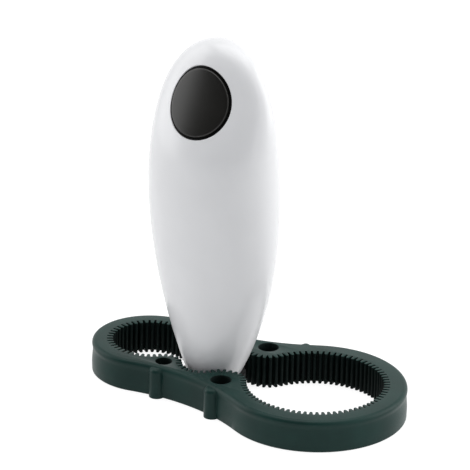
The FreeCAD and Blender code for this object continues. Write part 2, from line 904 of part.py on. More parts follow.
def tray_screws():
    screws = []
    for side in (-1, 1):
        screw = upright_screw(small_screw_radius, small_screw_length, 0, 0, 0, up=False)
        screw.rotate(Vector(0, 0, 0), Vector(1, 0, 0), -90)
        screw.translate(Vector(side * tray_ear_x, tray_front + tray_wall, tray_middle))
        screws.append(screw)
    return Part.makeCompound(screws)


# Leads

def lead(side):
    """An insulated lead from the motor's end cap, in front of the tray, to the board's edge."""
    start_x = motor_x + side * lead_side / 2
    end_x = side * lead_side
    start_z = motor_base + motor_length + motor_cap_length / 2
    start_y = -motor_cap_radius
    board = button_frame()
    middle = -board_depth - board_thickness / 2
    end = board.multVec(Vector(end_x, -board_length / 2, middle))
    below = board.multVec(Vector(end_x, -board_length / 2 - lead_straight, middle))
    points = [
        Vector(start_x, start_y, start_z),
        Vector(start_x, start_y - lead_forward, start_z),
        Vector(end_x, below.y, start_z + 2 * lead_straight),
        below,
        end,
    ]
    return tube(points, lead_radius)


def tube(points, radius):
    """A round tube along straight runs joined by tangent arcs."""
    edges = []
    last = points[0]
    for before, corner, after in zip(points, points[1:], points[2:]):
        back = (before - corner).normalize()
        forth = (after - corner).normalize()
        half = back.getAngle(forth) / 2
        reach = bend_share * min((before - corner).Length, (after - corner).Length)
        start = corner + back * reach
        end = corner + forth * reach
        bend = reach * math.tan(half)
        middle = (back + forth).normalize()
        centre = corner + middle * (bend / math.sin(half))
        crest = centre - middle * bend
        edges.append(Part.LineSegment(last, start).toShape())
        edges.append(Part.Arc(start, crest, end).toShape())
        last = end
    edges.append(Part.LineSegment(last, points[-1]).toShape())
    path = Part.Wire(edges)
    ring = Part.Circle(points[0], (points[1] - points[0]).normalize(), radius).toShape()
    return path.makePipeShell([Part.Wire(ring)], True, False)


def place_in_ring(shape):
    """Turns the drive unit and stands it in the ring's neck."""
    shape = shape.copy()
    shape.Placement = Placement(
        Vector(unit_x, 0, 0), Rotation(Vector(0, 0, 1), unit_turn)).multiply(shape.Placement)
    return shape


unit_parts = {
    "front_shell": front_shell,
    "rear_shell": rear_shell,
    "battery_cover": battery_cover,
    "shell_screws": shell_screws,
    "button_liner": button_liner,
    "button_cap": button_cap,
    "circuit_board": circuit_board,
    "board_screws": board_screws,
    "switch_body": switch_body,
    "switch_plunger": switch_plunger,
    "lower_gear_plate": lower_gear_plate,
    "upper_gear_plate": upper_gear_plate,
    "gear_pillars": gear_pillars,
    "plate_screws": plate_screws,
    "first_axle": first_axle,
    "second_axle": second_axle,
    "first_gear": first_gear,
    "second_gear": second_gear,
    "output_gear": output_gear,
    "output_shaft": output_shaft,
    "drive_hub": drive_hub,
    "hub_screw": hub_screw,
    "nose_plate": nose_plate,
    "nose_bush": nose_bush,
    "shaft_seal": shaft_seal,
    "motor_can": motor_can,
    "motor_end_cap": motor_end_cap,
    "motor_shaft": motor_shaft,
    "motor_pinion": motor_pinion,
    "motor_screws": motor_screws,
    "battery_tray": battery_tray,
    "left_cell": lambda: battery_cell(-1),
    "right_cell": lambda: battery_cell(1),
    "cell_springs": cell_springs,
    "contact_plate": contact_plate,
    "tray_screws": tray_screws,
    "left_lead": lambda: lead(-1),
    "right_lead": lambda: lead(1),
}

os.makedirs("parts", exist_ok=True)
grip_ring().exportStep("parts/grip_ring.step")
for name, make in unit_parts.items():
    place_in_ring(make()).exportStep("parts/" + name + ".step")
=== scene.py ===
import json
import math

import bpy
import numpy as np
from bpy.props import FloatProperty, FloatVectorProperty, IntProperty, PointerProperty
from mathutils import Matrix, Vector
from mathutils.geometry import tessellate_polygon


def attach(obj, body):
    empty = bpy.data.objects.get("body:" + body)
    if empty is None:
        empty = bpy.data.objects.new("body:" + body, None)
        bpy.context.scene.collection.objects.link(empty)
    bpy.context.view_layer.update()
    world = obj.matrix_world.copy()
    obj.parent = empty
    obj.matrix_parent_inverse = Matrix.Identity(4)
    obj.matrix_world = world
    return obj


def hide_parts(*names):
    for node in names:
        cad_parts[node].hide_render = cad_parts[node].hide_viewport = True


# Electric jar opener: an egg-shaped drive unit with a round push button,
# standing nose down in the neck of a toothed rubber grip ring.
# Metres. +Z is up, +X points to the large loop, -Y is the button side.
# The drive unit's pieces are made about its own upright axis, in its own frame,
# and then turned and moved to its place in the ring.

bl_info = {
    "name": "Electric jar opener",
    "version": (1, 0, 0),
    "blender": (4, 5, 0),
    "location": "3D View > Sidebar > Jar opener",
    "description": "Builds the shells, button, screws and grip ring of a jar opener",
    "category": "Object",
}

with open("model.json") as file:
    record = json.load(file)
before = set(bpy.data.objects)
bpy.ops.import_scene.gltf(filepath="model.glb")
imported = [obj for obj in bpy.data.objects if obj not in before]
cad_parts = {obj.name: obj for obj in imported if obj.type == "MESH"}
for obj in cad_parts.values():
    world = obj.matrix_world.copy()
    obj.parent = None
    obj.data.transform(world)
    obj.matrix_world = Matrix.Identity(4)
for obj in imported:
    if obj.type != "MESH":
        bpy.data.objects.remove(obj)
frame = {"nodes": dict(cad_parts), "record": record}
mm = 0.001
full_turn = 2 * math.pi
backward = np.array([0.0, 1.0, 0.0])
upward = np.array([0.0, 0.0, 1.0])
square = ((-1, -1), (1, -1), (1, 1), (-1, 1))


def length(name, millimetres, words):
    """A length whose default is given in millimetres."""
    return FloatProperty(name=name, description=words, default=millimetres * mm, unit="LENGTH")


def lengths(name, millimetres, words):
    """A row of lengths whose defaults are given in millimetres."""
    values = [value * mm for value in millimetres]
    return FloatVectorProperty(
        name=name, description=words, default=values, size=len(values), unit="LENGTH")


def angle(name, degrees, words):
    """An angle whose default is given in degrees."""
    return FloatProperty(
        name=name, description=words, default=math.radians(degrees), subtype="ANGLE")


def number(name, value, words):
    return FloatProperty(name=name, description=words, default=value)


def count(name, value, words):
    return IntProperty(name=name, description=words, default=value, min=1)


def colour(name, value, words):
    return FloatVectorProperty(
        name=name, description=words, default=value, size=3, subtype="COLOR", min=0, max=1)


class UnitSizes(bpy.types.PropertyGroup):
    """Sizes of the drive unit's shells and their fastenings."""

    place: length("Place", -18.55, "How far along X the unit's axis stands")
    turn: angle("Turn", -8.5, "Turn of the unit about its axis")
    heights: lengths(
        "Pole heights", (9.5, 20.0, 44.0, 86.0, 130.0, 165.0, 184.1),
        "Heights of the rows of poles that pull the skin")
    half_widths: lengths(
        "Half widths", (14.0, 19.8, 30.0, 38.9, 36.0, 33.8, 12.9),
        "Half widths of the rows of poles")
    half_depths: lengths(
        "Half depths", (13.6, 15.8, 19.0, 21.5, 28.0, 9.4, 9.9),
        "Half depths of the rows of poles")
    centres: lengths(
        "Centres", (0.0, 0.0, -0.5, -1.7, -3.0, 0.2, 2.4),
        "How far back the centre of each row of poles is")
    tip_back: length("Tip", 3.2, "How far back the tip is")
    wall: length("Wall", 2.2, "Thickness of the shells")
    seam: length("Seam", 10.0, "How far back the seam between the shells is")
    seam_gap: length("Seam gap", 0.2, "Gap between the shells and round the battery cover")
    rim: length("Rim", 0.5, "Rounding of the shells' edges")
    cover_half_width: length("Cover half width", 17.5, "Half the width of the battery cover")
    cover_low: length("Cover bottom", 88.0, "Height of the battery cover's lower edge")
    cover_high: length("Cover top", 150.0, "Height of the battery cover's upper edge")
    cover_corner: length("Cover corner", 4.0, "Rounding of the battery cover's corners")
    grip_count: count("Grip bars", 5, "Raised bars on the battery cover")
    grip_pitch: length("Grip pitch", 3.0, "Spacing of the raised bars")
    grip_length: length("Grip length", 18.0, "Length of the raised bars")
    grip_proud: length("Grip height", 0.55, "How far the bars stand up")
    screw_sides: lengths("Screw sides", (12.0, 24.5, 22.0), "How far out the screws are")
    screw_heights: lengths("Screw heights", (27.0, 78.0, 140.0), "Heights of the screws")
    screw_head: length("Screw head", 2.1, "Radius of the screws' heads")
    screw_head_height: length("Screw head height", 1.6, "Height of the screws' heads")
    screw_shank: length("Screw shank", 1.25, "Radius of the screws")
    screw_length: length("Screw length", 12.0, "Length of the screws under their heads")
    screw_seat: length("Screw seat", 11.1, "How far back the screws' heads sit")
    screw_hole: length("Screw hole", 2.28, "Radius of the holes over the screws' heads")


class ButtonSizes(bpy.types.PropertyGroup):
    """Sizes of the push button and the well that it moves in."""

    height: length("Height", 156.4, "Height of the button's centre on the skin")
    tilt: angle("Tilt", 26.2, "How far the button's axis leans up")
    well: length("Well", 18.2, "Radius of the hole in the front shell")
    radius: length("Radius", 16.9, "Radius of the button")
    proud: length("Proud", 0.9, "How far the button's face stands over the skin")
    edge: length("Edge", 0.9, "Rounding of the button's edge")
    skirt: length("Skirt", 4.0, "How far the button's skirt goes in")


class RingSizes(bpy.types.PropertyGroup):
    """Sizes of the grip ring."""

    height: length("Height", 16.6, "Height of the ring")
    spacing: length("Spacing", 95.4, "Distance between the loops' centres")
    large_root: length("Large loop", 37.0, "Radius of the large loop at the teeth's roots")
    small_root: length("Small loop", 22.1, "Radius of the small loop at the teeth's roots")
    large_outer: length("Large end", 45.6, "Outer radius of the large end")
    small_outer: length("Small end", 29.5, "Outer radius of the small end")
    waist: length("Waist", 100.0, "Radius of the hollow waists")
    large_hole_along: length("Large hole along", 40.4, "From the large loop to its holes, along X")
    large_hole_side: length("Large hole side", 23.0, "From the middle line to the large holes")
    large_hole: length("Large hole", 4.95, "Radius of the large holes")
    small_hole_along: length("Small hole along", 19.9, "From the small loop to its holes, along X")
    small_hole_side: length("Small hole side", 19.9, "From the middle line to the small holes")
    small_hole: length("Small hole", 3.95, "Radius of the small holes")
    pocket: length("Pocket", 13.0, "Radius of the neck's pockets")
    hole_edge: length("Hole edge", 0.35, "Rounding of the holes' edges")
    shoulder: length("Shoulder", 2.2, "Rounding of the ring's upper edge")
    hollow: length("Hollow", 0.38, "Depth of the hollow band round the outer wall")
    band: length("Band", 2.6, "From the shoulder down to where the hollow is deepest")
    tooth_pitch: length("Tooth pitch", 2.9, "Spacing of the teeth")
    tooth_depth: length("Tooth depth", 3.2, "Depth of the teeth")
    tooth_root: length("Tooth root", 2.3, "Width of a tooth at its root")
    tooth_tip: length("Tooth tip", 1.35, "Width of a tooth at its tip")
    tooth_edge: length("Tooth edge", 0.25, "Rounding of a tooth's ends")
    rib_drop: length("Rib drop", 0.9, "How far the ribs stop below the ring's upper face")
    rear_rib_drop: length("Rear rib drop", 2.4, "How far the rear ribs stop below the upper face")
    rib_round: length("Rib rounding", 2.2, "Rounding of the ribs' upper ends")
    waist_rib: length("Waist rib", 4.1, "Radius of the ribs beside the large holes")
    waist_rib_proud: length("Waist rib proud", 3.4, "How far the waist ribs stand out")
    end_rib: length("End rib", 3.9, "Radius of the ribs beside the small holes")
    end_rib_proud: length("End rib proud", 2.8, "How far the end ribs stand out")
    rear_rib: length("Rear rib", 2.7, "Radius of the low rib at the back")
    rear_rib_proud: length("Rear rib proud", 1.6, "How far the low rib stands out")
    rear_rib_along: length("Rear rib along", 26.6, "From the large loop to the low rib, along X")


class FinishColours(bpy.types.PropertyGroup):
    """Colours of the finishes that show."""

    white: colour("White plastic", (0.86, 0.86, 0.865), "Gloss shells")
    rubber: colour("Grip rubber", (0.009, 0.034, 0.029), "Grip ring")
    # Darker rubber for the ring's inner wall, hole walls and tooth sides: painted shade in the
    # grooves and holes
    groove: colour("Groove rubber", (0.004, 0.009, 0.008), "Grip ring's teeth and holes")
    button: colour("Button plastic", (0.0095, 0.009, 0.0078), "Push button")
    liner: colour("Liner plastic", (0.004, 0.004, 0.004), "Ring round the button")


class StageLevels(bpy.types.PropertyGroup):
    """Camera and light of the stage."""

    lens: number("Lens", 365.0, "Focal length in millimetres on a 36 mm sensor")
    distance: length("Distance", 2340.9, "From the camera to the point that it looks at")
    azimuth: angle("Azimuth", 30.627, "Turn of the camera about the object")
    elevation: angle("Elevation", 23.283, "Height of the camera as an angle")
    roll: angle("Roll", 1.105, "Turn of the camera about its own line of sight")
    target: lengths("Target", (-7.24, -1.09, 84.81), "The point that the camera looks at")
    world: number("World", 0.4, "Strength of the light from all round")
    right: number("Right light", 2.2, "Brightness of the light at the right")
    left: number("Left light", 1.5, "Brightness of the light at the left")
    top: number("Top light", 2.0, "Brightness of the light above")
    card: lengths("Card", (3000.0, 1800.0), "Width and height of the dark card by the camera")
    card_away: length("Card distance", 1300.0, "From the target to the dark card")
    card_turn: angle("Card turn", 29.0, "How far the dark card is turned to the camera's left")


# Objects and meshes

def add_object(name, data):
    thing = bpy.data.objects.new(name, data)
    bpy.context.scene.collection.objects.link(thing)
    return thing


def add_piece(name, mesh, body, replaced=()):
    """Puts a mesh in the scene as a piece that rides on a body."""
    thing = add_object(name, mesh)
    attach(thing, body)
    if replaced:
        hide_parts(*replaced)


def paint(mesh, *coats):
    """Gives a mesh these finishes and no others."""
    mesh.materials.clear()
    for finish in coats:
        mesh.materials.append(finish)


def smooth_mesh(name, points, faces, normals=None, sharp=None):
    """A smooth mesh with given normals, or with edges kept sharp over an angle in degrees."""
    mesh = bpy.data.meshes.new(name)
    mesh.from_pydata([tuple(point) for point in points], [], [tuple(face) for face in faces])
    mesh.validate()
    mesh.shade_smooth()
    if normals is not None:
        mesh.normals_split_custom_set_from_vertices([tuple(normal) for normal in normals])
    if sharp is not None:
        mesh.set_sharp_from_angle(angle=math.radians(sharp))
    return mesh


def unit(vectors):
    """The same vectors with a length of one."""
    size = np.linalg.norm(vectors, axis=-1, keepdims=True)
    return vectors / np.maximum(size, 1e-12)


def dot(first, second):
    return (first * second).sum(-1, keepdims=True)


def even_turns(steps):
    """Angles at even steps round a full turn."""
    return np.arange(steps) * full_turn / steps


def arc(centre, radius, turns):
    """Points on a circle at these angles."""
    return centre + radius * np.stack([np.cos(turns), np.sin(turns)], 1)


def raised(outline, height):
    """A flat outline as points at a height."""
    return np.column_stack([outline, np.full(len(outline), height)])


def rounded(start, corner, end, share):
    """The place at a share of the curve that rounds a corner off."""
    return (1 - share) ** 2 * start + 2 * share * (1 - share) * corner + share ** 2 * end


def ring_faces(first, second, size):
    """Quads between two closed rows of points, given where each row starts."""
    return [(first + step, first + (step + 1) % size, second + (step + 1) % size, second + step)
            for step in range(size)]


def tube_faces(rows, size, start=0):
    """Quads between closed rows of one size that follow each other."""
    return [face for row in range(rows - 1)
            for face in ring_faces(start + row * size, start + (row + 1) * size, size)]


def closed_tube(name, rows, sharp):
    """A mesh through closed rows of one size, with a face over each end."""
    size = len(rows[0])
    last = (len(rows) - 1) * size
    ends = [tuple(reversed(range(size))), tuple(range(last, last + size))]
    return smooth_mesh(name, np.concatenate(rows), tube_faces(len(rows), size) + ends, sharp=sharp)


class UnitPlace:
    """Carries points and directions from the drive unit's own frame to the ring's."""

    def __init__(self, sizes):
        cosine = math.cos(sizes.turn)
        sine = math.sin(sizes.turn)
        self.turn = np.array([[cosine, -sine, 0], [sine, cosine, 0], [0, 0, 1]])
        self.move = np.array([sizes.place, 0, 0])

    def points(self, points):
        return np.asarray(points) @ self.turn.T + self.move

    def directions(self, directions):
        return np.asarray(directions) @ self.turn.T


# Skin of the drive unit

def pole_weights(poles, places):
    """Weights of the poles of an open cubic curve at places from 0 to 1."""
    spans = poles - 3
    knots = np.concatenate(([0.0] * 3, np.arange(spans + 1.0), [float(spans)] * 3))
    at = np.clip(np.asarray(places, float), 0, 1 - 1e-9)[..., None] * spans
    weights = ((knots[:-1] <= at) & (at < knots[1:])).astype(float)
    for degree in (1, 2, 3):
        low = knots[:-degree - 1]
        high = knots[degree + 1:]
        rise = np.maximum(knots[degree:-1] - low, 1e-12)
        fall = np.maximum(high - knots[1:len(knots) - degree], 1e-12)
        weights = (at - low) / rise * weights[..., :-1] + (high - at) / fall * weights[..., 1:]
    return weights


class Skin:
    """The unit's outer shape: an ellipse at each height, whose size follows cubic curves."""

    table_steps = 4000
    length_steps = 2000
    halvings = 40

    def __init__(self, sizes, proud=0.0):
        rows = np.stack([sizes.heights, sizes.half_widths, sizes.half_depths, sizes.centres], 1)
        rows = rows.astype(float)
        rows[:, 1:3] += proud
        rows[-1, 0] += proud
        tip = [rows[-1, 0], 0.0, 0.0, sizes.tip_back]
        self.rows = np.vstack([rows, tip])
        table = self.section(np.linspace(0, 1, self.table_steps + 1))
        self.table = table[np.append(np.diff(table[:, 0]) > 0, True)]

    def section(self, up):
        """Height, half width, half depth and centre at places from the nose to the tip."""
        return pole_weights(len(self.rows), up) @ self.rows

    def point(self, around, up):
        height, wide, deep, back = np.moveaxis(self.section(up), -1, 0)
        return np.stack([wide * np.cos(around), back + deep * np.sin(around), height], -1)

    def normal(self, around, up):
        step = 1e-4
        nearest_tip = 20 * step
        up = np.clip(up, step, 1 - nearest_tip)
        along = self.point(around + step, up) - self.point(around - step, up)
        rise = self.point(around, up + step) - self.point(around, up - step)
        return unit(np.cross(along, rise))

    def even_places(self, rows):
        """Places from the nose to the tip at even distances along the side."""
        fine = np.linspace(0, 1, self.length_steps + 1)
        section = self.section(fine)
        run = np.concatenate(([0], np.cumsum(np.hypot(*np.diff(section[:, :2], axis=0).T))))
        return np.interp(np.linspace(0, run[-1], rows), run, fine)

    def outside(self, point):
        """Below 1 inside the skin, and over 1 outside it."""
        height = point[..., 2]
        heights = self.table[:, 0]
        wide, deep, back = [np.interp(height, heights, self.table[:, column])
                            for column in (1, 2, 3)]
        least = 1e-6
        wide = np.maximum(wide, least)
        deep = np.maximum(deep, least)
        level = (point[..., 0] / wide) ** 2 + ((point[..., 1] - back) / deep) ** 2
        over_tip = 2.0
        return np.where(height > heights[-1], over_tip, level)

    def reach(self, start, direction, near, far):
        """Points where lines leave the skin, between a near and a far distance."""
        low = np.full(start.shape[:-1], near)
        high = np.full(start.shape[:-1], far)
        for _ in range(self.halvings):
            middle = (low + high) / 2
            inside = self.outside(start + middle[..., None] * direction) < 1
            low = np.where(inside, middle, low)
            high = np.where(inside, high, middle)
        return start + low[..., None] * direction


class ButtonPlace:
    """The button's own frame: its centre on the skin, and its sideways, up and outward axes."""

    def __init__(self, unit_sizes, sizes):
        start = np.array([0.0, 0.0, sizes.height])
        self.centre = Skin(unit_sizes).reach(start, -backward, 0.0, 100 * mm)
        self.out = np.array([0.0, -math.cos(sizes.tilt), math.sin(sizes.tilt)])
        self.side = np.array([1.0, 0.0, 0.0])
        self.up = np.cross(self.out, self.side)

    def across(self, radius, turn):
        """A point in the plane across the button's axis."""
        sideways = (radius * np.cos(turn))[..., None] * self.side
        return self.centre + sideways + (radius * np.sin(turn))[..., None] * self.up


# Cuts through the skin: how far a point is on the kept side of each

def round_hole(centre, axis, radius):
    def level(point):
        arm = point - centre
        arm = arm - dot(arm, axis) * axis
        return np.linalg.norm(arm, axis=-1) - radius
    return level


def plane_cut(axis, place):
    """Keeps what lies further along an axis than a place."""
    def level(point):
        return point @ axis - place
    return level


def window(sizes, gap, inside):
    """The battery cover's outline, kept inside or outside."""
    half = np.array([sizes.cover_half_width, (sizes.cover_high - sizes.cover_low) / 2]) + gap
    middle = np.array([0, (sizes.cover_high + sizes.cover_low) / 2])
    corner = sizes.cover_corner + gap
    sign = -1 if inside else 1

    def level(point):
        reach = np.abs(point[..., [0, 2]] - middle) - (half - corner)
        outer = np.linalg.norm(np.maximum(reach, 0), axis=-1)
        inner = np.minimum(reach.max(-1), 0)
        in_front = 2 * half[0] * (point[..., 1] < sizes.seam)
        return sign * (outer + inner - corner + in_front)
    return level


def slopes(level, point):
    """The gradient of a level at points."""
    step = 1e-6
    return np.stack([
        (level(point + step * axis) - level(point - step * axis)) / (2 * step)
        for axis in np.eye(3)], -1)


class Trimmer:
    """Trims the skin's grid along cuts and gives its edges a rim, a wall and an inner side."""

    columns = 150
    rows = 150
    least_slope = 0.3
    least_depth = 0.4
    crossing_tries = 6
    corner_tries = 4
    margin = 0.02

    def __init__(self, skin, cuts, sizes):
        self.skin = skin
        self.cuts = cuts
        self.rim = sizes.rim
        self.wall = sizes.wall
        columns, rows = self.columns, self.rows
        places = skin.even_places(rows + 1)
        self.around = np.append(np.tile(even_turns(columns), rows), 0.0)
        self.up = np.append(np.repeat(places[:-1], columns), 1.0)
        tip = rows * columns
        last = tip - columns
        self.cells = tube_faces(rows, columns)
        self.cells += [(last + step, last + (step + 1) % columns, tip) for step in range(columns)]

    def closeness(self, around, up):
        """How far each point is from each cut along the skin, less the rim."""
        point = self.skin.point(around, up)
        normal = self.skin.normal(around, up)
        found = []
        for cut in self.cuts:
            slope = slopes(cut, point)
            flat = np.linalg.norm(slope - dot(slope, normal) * normal, axis=-1)
            found.append(cut(point) / np.maximum(flat, self.least_slope) - self.rim)
        return np.array(found)

    def crossing(self, inner, outer, levels):
        """The place between two grid points where the kept part ends."""
        start = np.array([self.around[inner], self.up[inner]])
        end = np.array([self.around[outer], self.up[outer]])
        end[0] -= full_turn * np.round((end[0] - start[0]) / full_turn)
        low, high = 0.0, 1.0
        above, below = levels[inner], levels[outer]
        for _ in range(self.crossing_tries):
            share = low + (high - low) * above / (above - below)
            place = start + (end - start) * share
            found = self.closeness(*place).min()
            if found > 0:
                low, above = share, found
            else:
                high, below = share, found
        share = min(max(share, self.margin), 1 - self.margin)
        return start + (end - start) * share

    def build(self):
        """Points, normals and faces of the trimmed and thickened shell."""
        levels = self.closeness(self.around, self.up).min(0)
        index = {}
        places = []
        met = {}
        faces = []

        def kept(corner):
            if corner not in index:
                index[corner] = len(places)
                places.append((self.around[corner], self.up[corner]))
            return index[corner]

        def edge(inner, outer):
            if (inner, outer) not in met:
                met[inner, outer] = len(places)
                places.append(tuple(self.crossing(inner, outer, levels)))
            return met[inner, outer]

        for cell in self.cells:
            inside = [levels[corner] > 0 for corner in cell]
            if not any(inside):
                continue
            face = []
            for step, corner in enumerate(cell):
                following = (step + 1) % len(cell)
                if inside[step]:
                    face.append(kept(corner))
                if inside[step] and not inside[following]:
                    face.append(edge(corner, cell[following]))
                if inside[following] and not inside[step]:
                    face.append(edge(cell[following], corner))
            faces.append(face)
        return self.thicken(np.array(places), faces)

    def thicken(self, places, faces):
        """Adds the inner side and joins it to the outer one round every rim."""
        outer = self.skin.point(*places.T)
        normal = self.skin.normal(*places.T)
        inner = outer - normal * self.wall
        total = len(outer)
        sides = set()
        for face in faces:
            sides.update(zip(face, face[1:] + face[:1]))
        border = [side for side in sides if side[::-1] not in sides]
        rim = sorted({corner for side in border for corner in side})
        slot = {corner: step for step, corner in enumerate(rim)}
        loops, loop_normals = self.rim_rows(places[rim], outer[rim], normal[rim])
        points = [outer, inner] + loops
        normals = [normal, -normal] + loop_normals
        shell = faces + [[total + corner for corner in reversed(face)] for face in faces]
        firsts = [2 * total + step * len(rim) for step in range(len(loops))]
        for start, end in border:
            row = [(start, end)]
            row += [(first + slot[start], first + slot[end]) for first in firsts]
            row.append((total + start, total + end))
            for (near_a, near_b), (far_a, far_b) in zip(row, row[1:]):
                shell.append([near_b, near_a, far_a, far_b])
        return np.concatenate(points), np.concatenate(normals), shell

    def rim_rows(self, places, start, normal):
        """Rows of points that round the rim over and go down the wall."""
        nearest = self.closeness(*places.T).argmin(0)
        slope = np.zeros_like(start)
        for step, cut in enumerate(self.cuts):
            here = nearest == step
            slope[here] = unit(slopes(cut, start[here]))
        flat = unit(dot(slope, normal) * normal - slope)
        corner = start + flat * self.rim
        for _ in range(self.corner_tries):
            for step, cut in enumerate(self.cuts):
                here = nearest == step
                corner[here] -= slope[here] * cut(corner[here])[:, None]
        inward = unit(dot(normal, slope) * slope - normal)
        end = corner + inward * self.rim
        rows = []
        row_normals = []
        for share in (0.25, 0.5, 0.75, 1.0):
            rows.append(rounded(start, corner, end, share))
            run = unit((1 - share) * (corner - start) + share * (end - corner))
            mixed = (1 - share) * normal - share * slope
            row_normals.append(unit(mixed - dot(mixed, run) * run))
        depth = self.wall / np.maximum(-dot(inward, normal), self.least_depth)
        rows.append(corner + inward * depth)
        row_normals.append(-slope)
        return rows, row_normals


def screw_spots(sizes):
    """How far across and how high each shell screw stands."""
    return [(hand * side, height) for side, height in zip(sizes.screw_sides, sizes.screw_heights)
            for hand in (-1, 1)]


class JAROPENER_OT_shells(bpy.types.Operator):
    """Front shell, rear shell and battery cover, with rounded rims and fine gaps"""

    bl_idname = "jar_opener.shells"
    bl_label = "Shells"

    def execute(self, context):
        sizes = context.scene.jar_opener_unit
        button_sizes = context.scene.jar_opener_button
        skin = Skin(sizes)
        place = UnitPlace(sizes)
        button = ButtonPlace(sizes, button_sizes)
        nose = plane_cut(upward, sizes.heights[0])
        half_gap = sizes.seam_gap / 2
        well = round_hole(button.centre, button.out, button_sizes.well)

        def front_well(point):
            behind = dot(point - button.centre, button.out)[..., 0] < -button_sizes.well
            return np.where(behind, 1.0, well(point))

        screw_holes = [round_hole(np.array([side, 0.0, height]), backward, sizes.screw_hole)
                       for side, height in screw_spots(sizes)]
        shells = (
            ("front_shell", "unit",
             [plane_cut(-backward, half_gap - sizes.seam), nose, front_well]),
            ("rear_shell", "unit",
             [plane_cut(backward, sizes.seam + half_gap), nose, window(sizes, half_gap, False)]
             + screw_holes),
            ("battery_cover", "cover", [window(sizes, -half_gap, True)]),
        )
        for node, body, cuts in shells:
            name = node + "_skin"
            points, normals, faces = Trimmer(skin, cuts, sizes).build()
            mesh = smooth_mesh(name, place.points(points), faces, place.directions(normals))
            paint(mesh, slot_finish("white_plastic"))
            add_piece(name, mesh, body, [node])
        return {"FINISHED"}


# Push button

class JAROPENER_OT_button(bpy.types.Operator):
    """Push button whose face follows the skin, with a rounded edge and a skirt"""

    bl_idname = "jar_opener.button"
    bl_label = "Push button"

    def execute(self, context):
        unit_sizes = context.scene.jar_opener_unit
        sizes = context.scene.jar_opener_button
        button = ButtonPlace(unit_sizes, sizes)
        skin = Skin(unit_sizes, sizes.proud)
        around = 128
        rings = 25
        turns = even_turns(around)
        skirt = sizes.skirt * button.out

        def face_row(radius, turns):
            level = button.across(np.full(len(turns), radius), turns)
            return skin.reach(level, button.out, -12 * mm, 12 * mm)

        flat = np.linspace(0, sizes.radius - sizes.edge, rings + 1)[1:]
        rows = [face_row(radius, turns) for radius in flat]
        start = rows[-1]
        rim = face_row(sizes.radius, turns)
        low = rim - sizes.edge * button.out
        rows += [rounded(start, rim, low, share) for share in (0.2, 0.4, 0.6, 0.8, 1.0)]
        bottom = button.across(np.full(around, sizes.radius), turns) - skirt
        lip = 0.1 * (button.centre - skirt - bottom)
        rows += [bottom, bottom + lip]
        points = np.concatenate([face_row(0.0, np.zeros(1))] + rows)
        faces = [(0, 1 + step, 1 + (step + 1) % around) for step in range(around)]
        faces += [face[::-1] for face in tube_faces(len(rows), around, 1)]
        place = UnitPlace(unit_sizes)
        mesh = smooth_mesh("button_cap_face", place.points(points), faces, sharp=50)
        paint(mesh, slot_finish("button_plastic"))
        add_piece("button_cap_face", mesh, "button", ["button_cap"])
        return {"FINISHED"}


# Grip ring

class RingPlan:
    """Circles that shape the ring, and the lines made from them."""

    def __init__(self, sizes):
        self.sizes = sizes
        reach = sizes.spacing + sizes.large_outer + sizes.small_outer
        self.large = np.array([reach / 2 - sizes.large_outer, 0.0])
        self.small = self.large - [sizes.spacing, 0.0]
        self.large_hole = self.large + [-sizes.large_hole_along, sizes.large_hole_side]
        self.small_hole = self.small + [sizes.small_hole_along, sizes.small_hole_side]
        self.large_boss = math.dist(self.large, self.large_hole) - sizes.large_root
        self.small_boss = math.dist(self.small, self.small_hole) - sizes.small_root
        self.pocket = self.between(
            self.small_hole, self.small_boss, self.large_hole, self.large_boss, sizes.pocket, -1)
        self.waist = self.between(
            self.small, sizes.small_outer, self.large, sizes.large_outer, sizes.waist, 1)

    @staticmethod
    def between(first, first_radius, second, second_radius, radius, side):
        """Centre of a circle that touches two others from outside."""
        span = second - first
        gap = np.linalg.norm(span)
        along = ((first_radius + radius) ** 2 - (second_radius + radius) ** 2 + gap ** 2) / 2 / gap
        across = math.sqrt((first_radius + radius) ** 2 - along ** 2)
        way = span / gap
        return first + way * along + np.array([-way[1], way[0]]) * across * side

    def inner_arcs(self):
        """Centre, radius, start angle and sweep of each arc of the teeth's root line."""
        sizes = self.sizes
        over = np.array([1, -1])
        large, small, pocket = self.large, self.small, self.pocket
        large_hole, small_hole = self.large_hole, self.small_hole
        chain = [
            (large, sizes.large_root, large_hole * over, large_hole, 1),
            (large_hole, self.large_boss, large, pocket, -1),
            (pocket, sizes.pocket, large_hole, small_hole, 1),
            (small_hole, self.small_boss, pocket, small, -1),
            (small, sizes.small_root, small_hole, small_hole * over, 1),
            (small_hole * over, self.small_boss, small, pocket * over, -1),
            (pocket * over, sizes.pocket, small_hole * over, large_hole * over, 1),
            (large_hole * over, self.large_boss, pocket * over, large, -1),
        ]
        arcs = []
        for centre, radius, before, after, turning in chain:
            start = math.atan2(*(before - centre)[::-1])
            sweep = (math.atan2(*(after - centre)[::-1]) - start) % full_turn
            arcs.append((centre, radius, start, sweep if turning > 0 else sweep - full_turn))
        return arcs

    def inner_line(self, inward, step):
        """The root line moved inward, as points about a step apart, going round to the left."""
        points = []
        for centre, radius, start, sweep in self.inner_arcs():
            bend = radius - math.copysign(inward, sweep)
            pieces = max(2, round(abs(sweep) * bend / step))
            points.append(arc(centre, bend, start + sweep * np.arange(pieces) / pieces))
        return np.concatenate(points)

    def waist_wall(self, along):
        """How far from the middle line the outer wall is, within the waist."""
        return self.waist[1] - np.sqrt(self.sizes.waist ** 2 - (along - self.waist[0]) ** 2)

    def ribs(self):
        """Place, radius, how far it stands out, height and side of each rib."""
        sizes = self.sizes
        found = [(self.large[0] - sizes.rear_rib_along, sizes.rear_rib, sizes.rear_rib_proud,
                  sizes.height, 1)]
        for side, drop in ((-1, sizes.rib_drop), (1, sizes.rear_rib_drop)):
            low = sizes.height - drop
            found += [(self.large_hole[0], sizes.waist_rib, sizes.waist_rib_proud, low, side),
                      (self.small_hole[0], sizes.end_rib, sizes.end_rib_proud, low, side)]
        return found


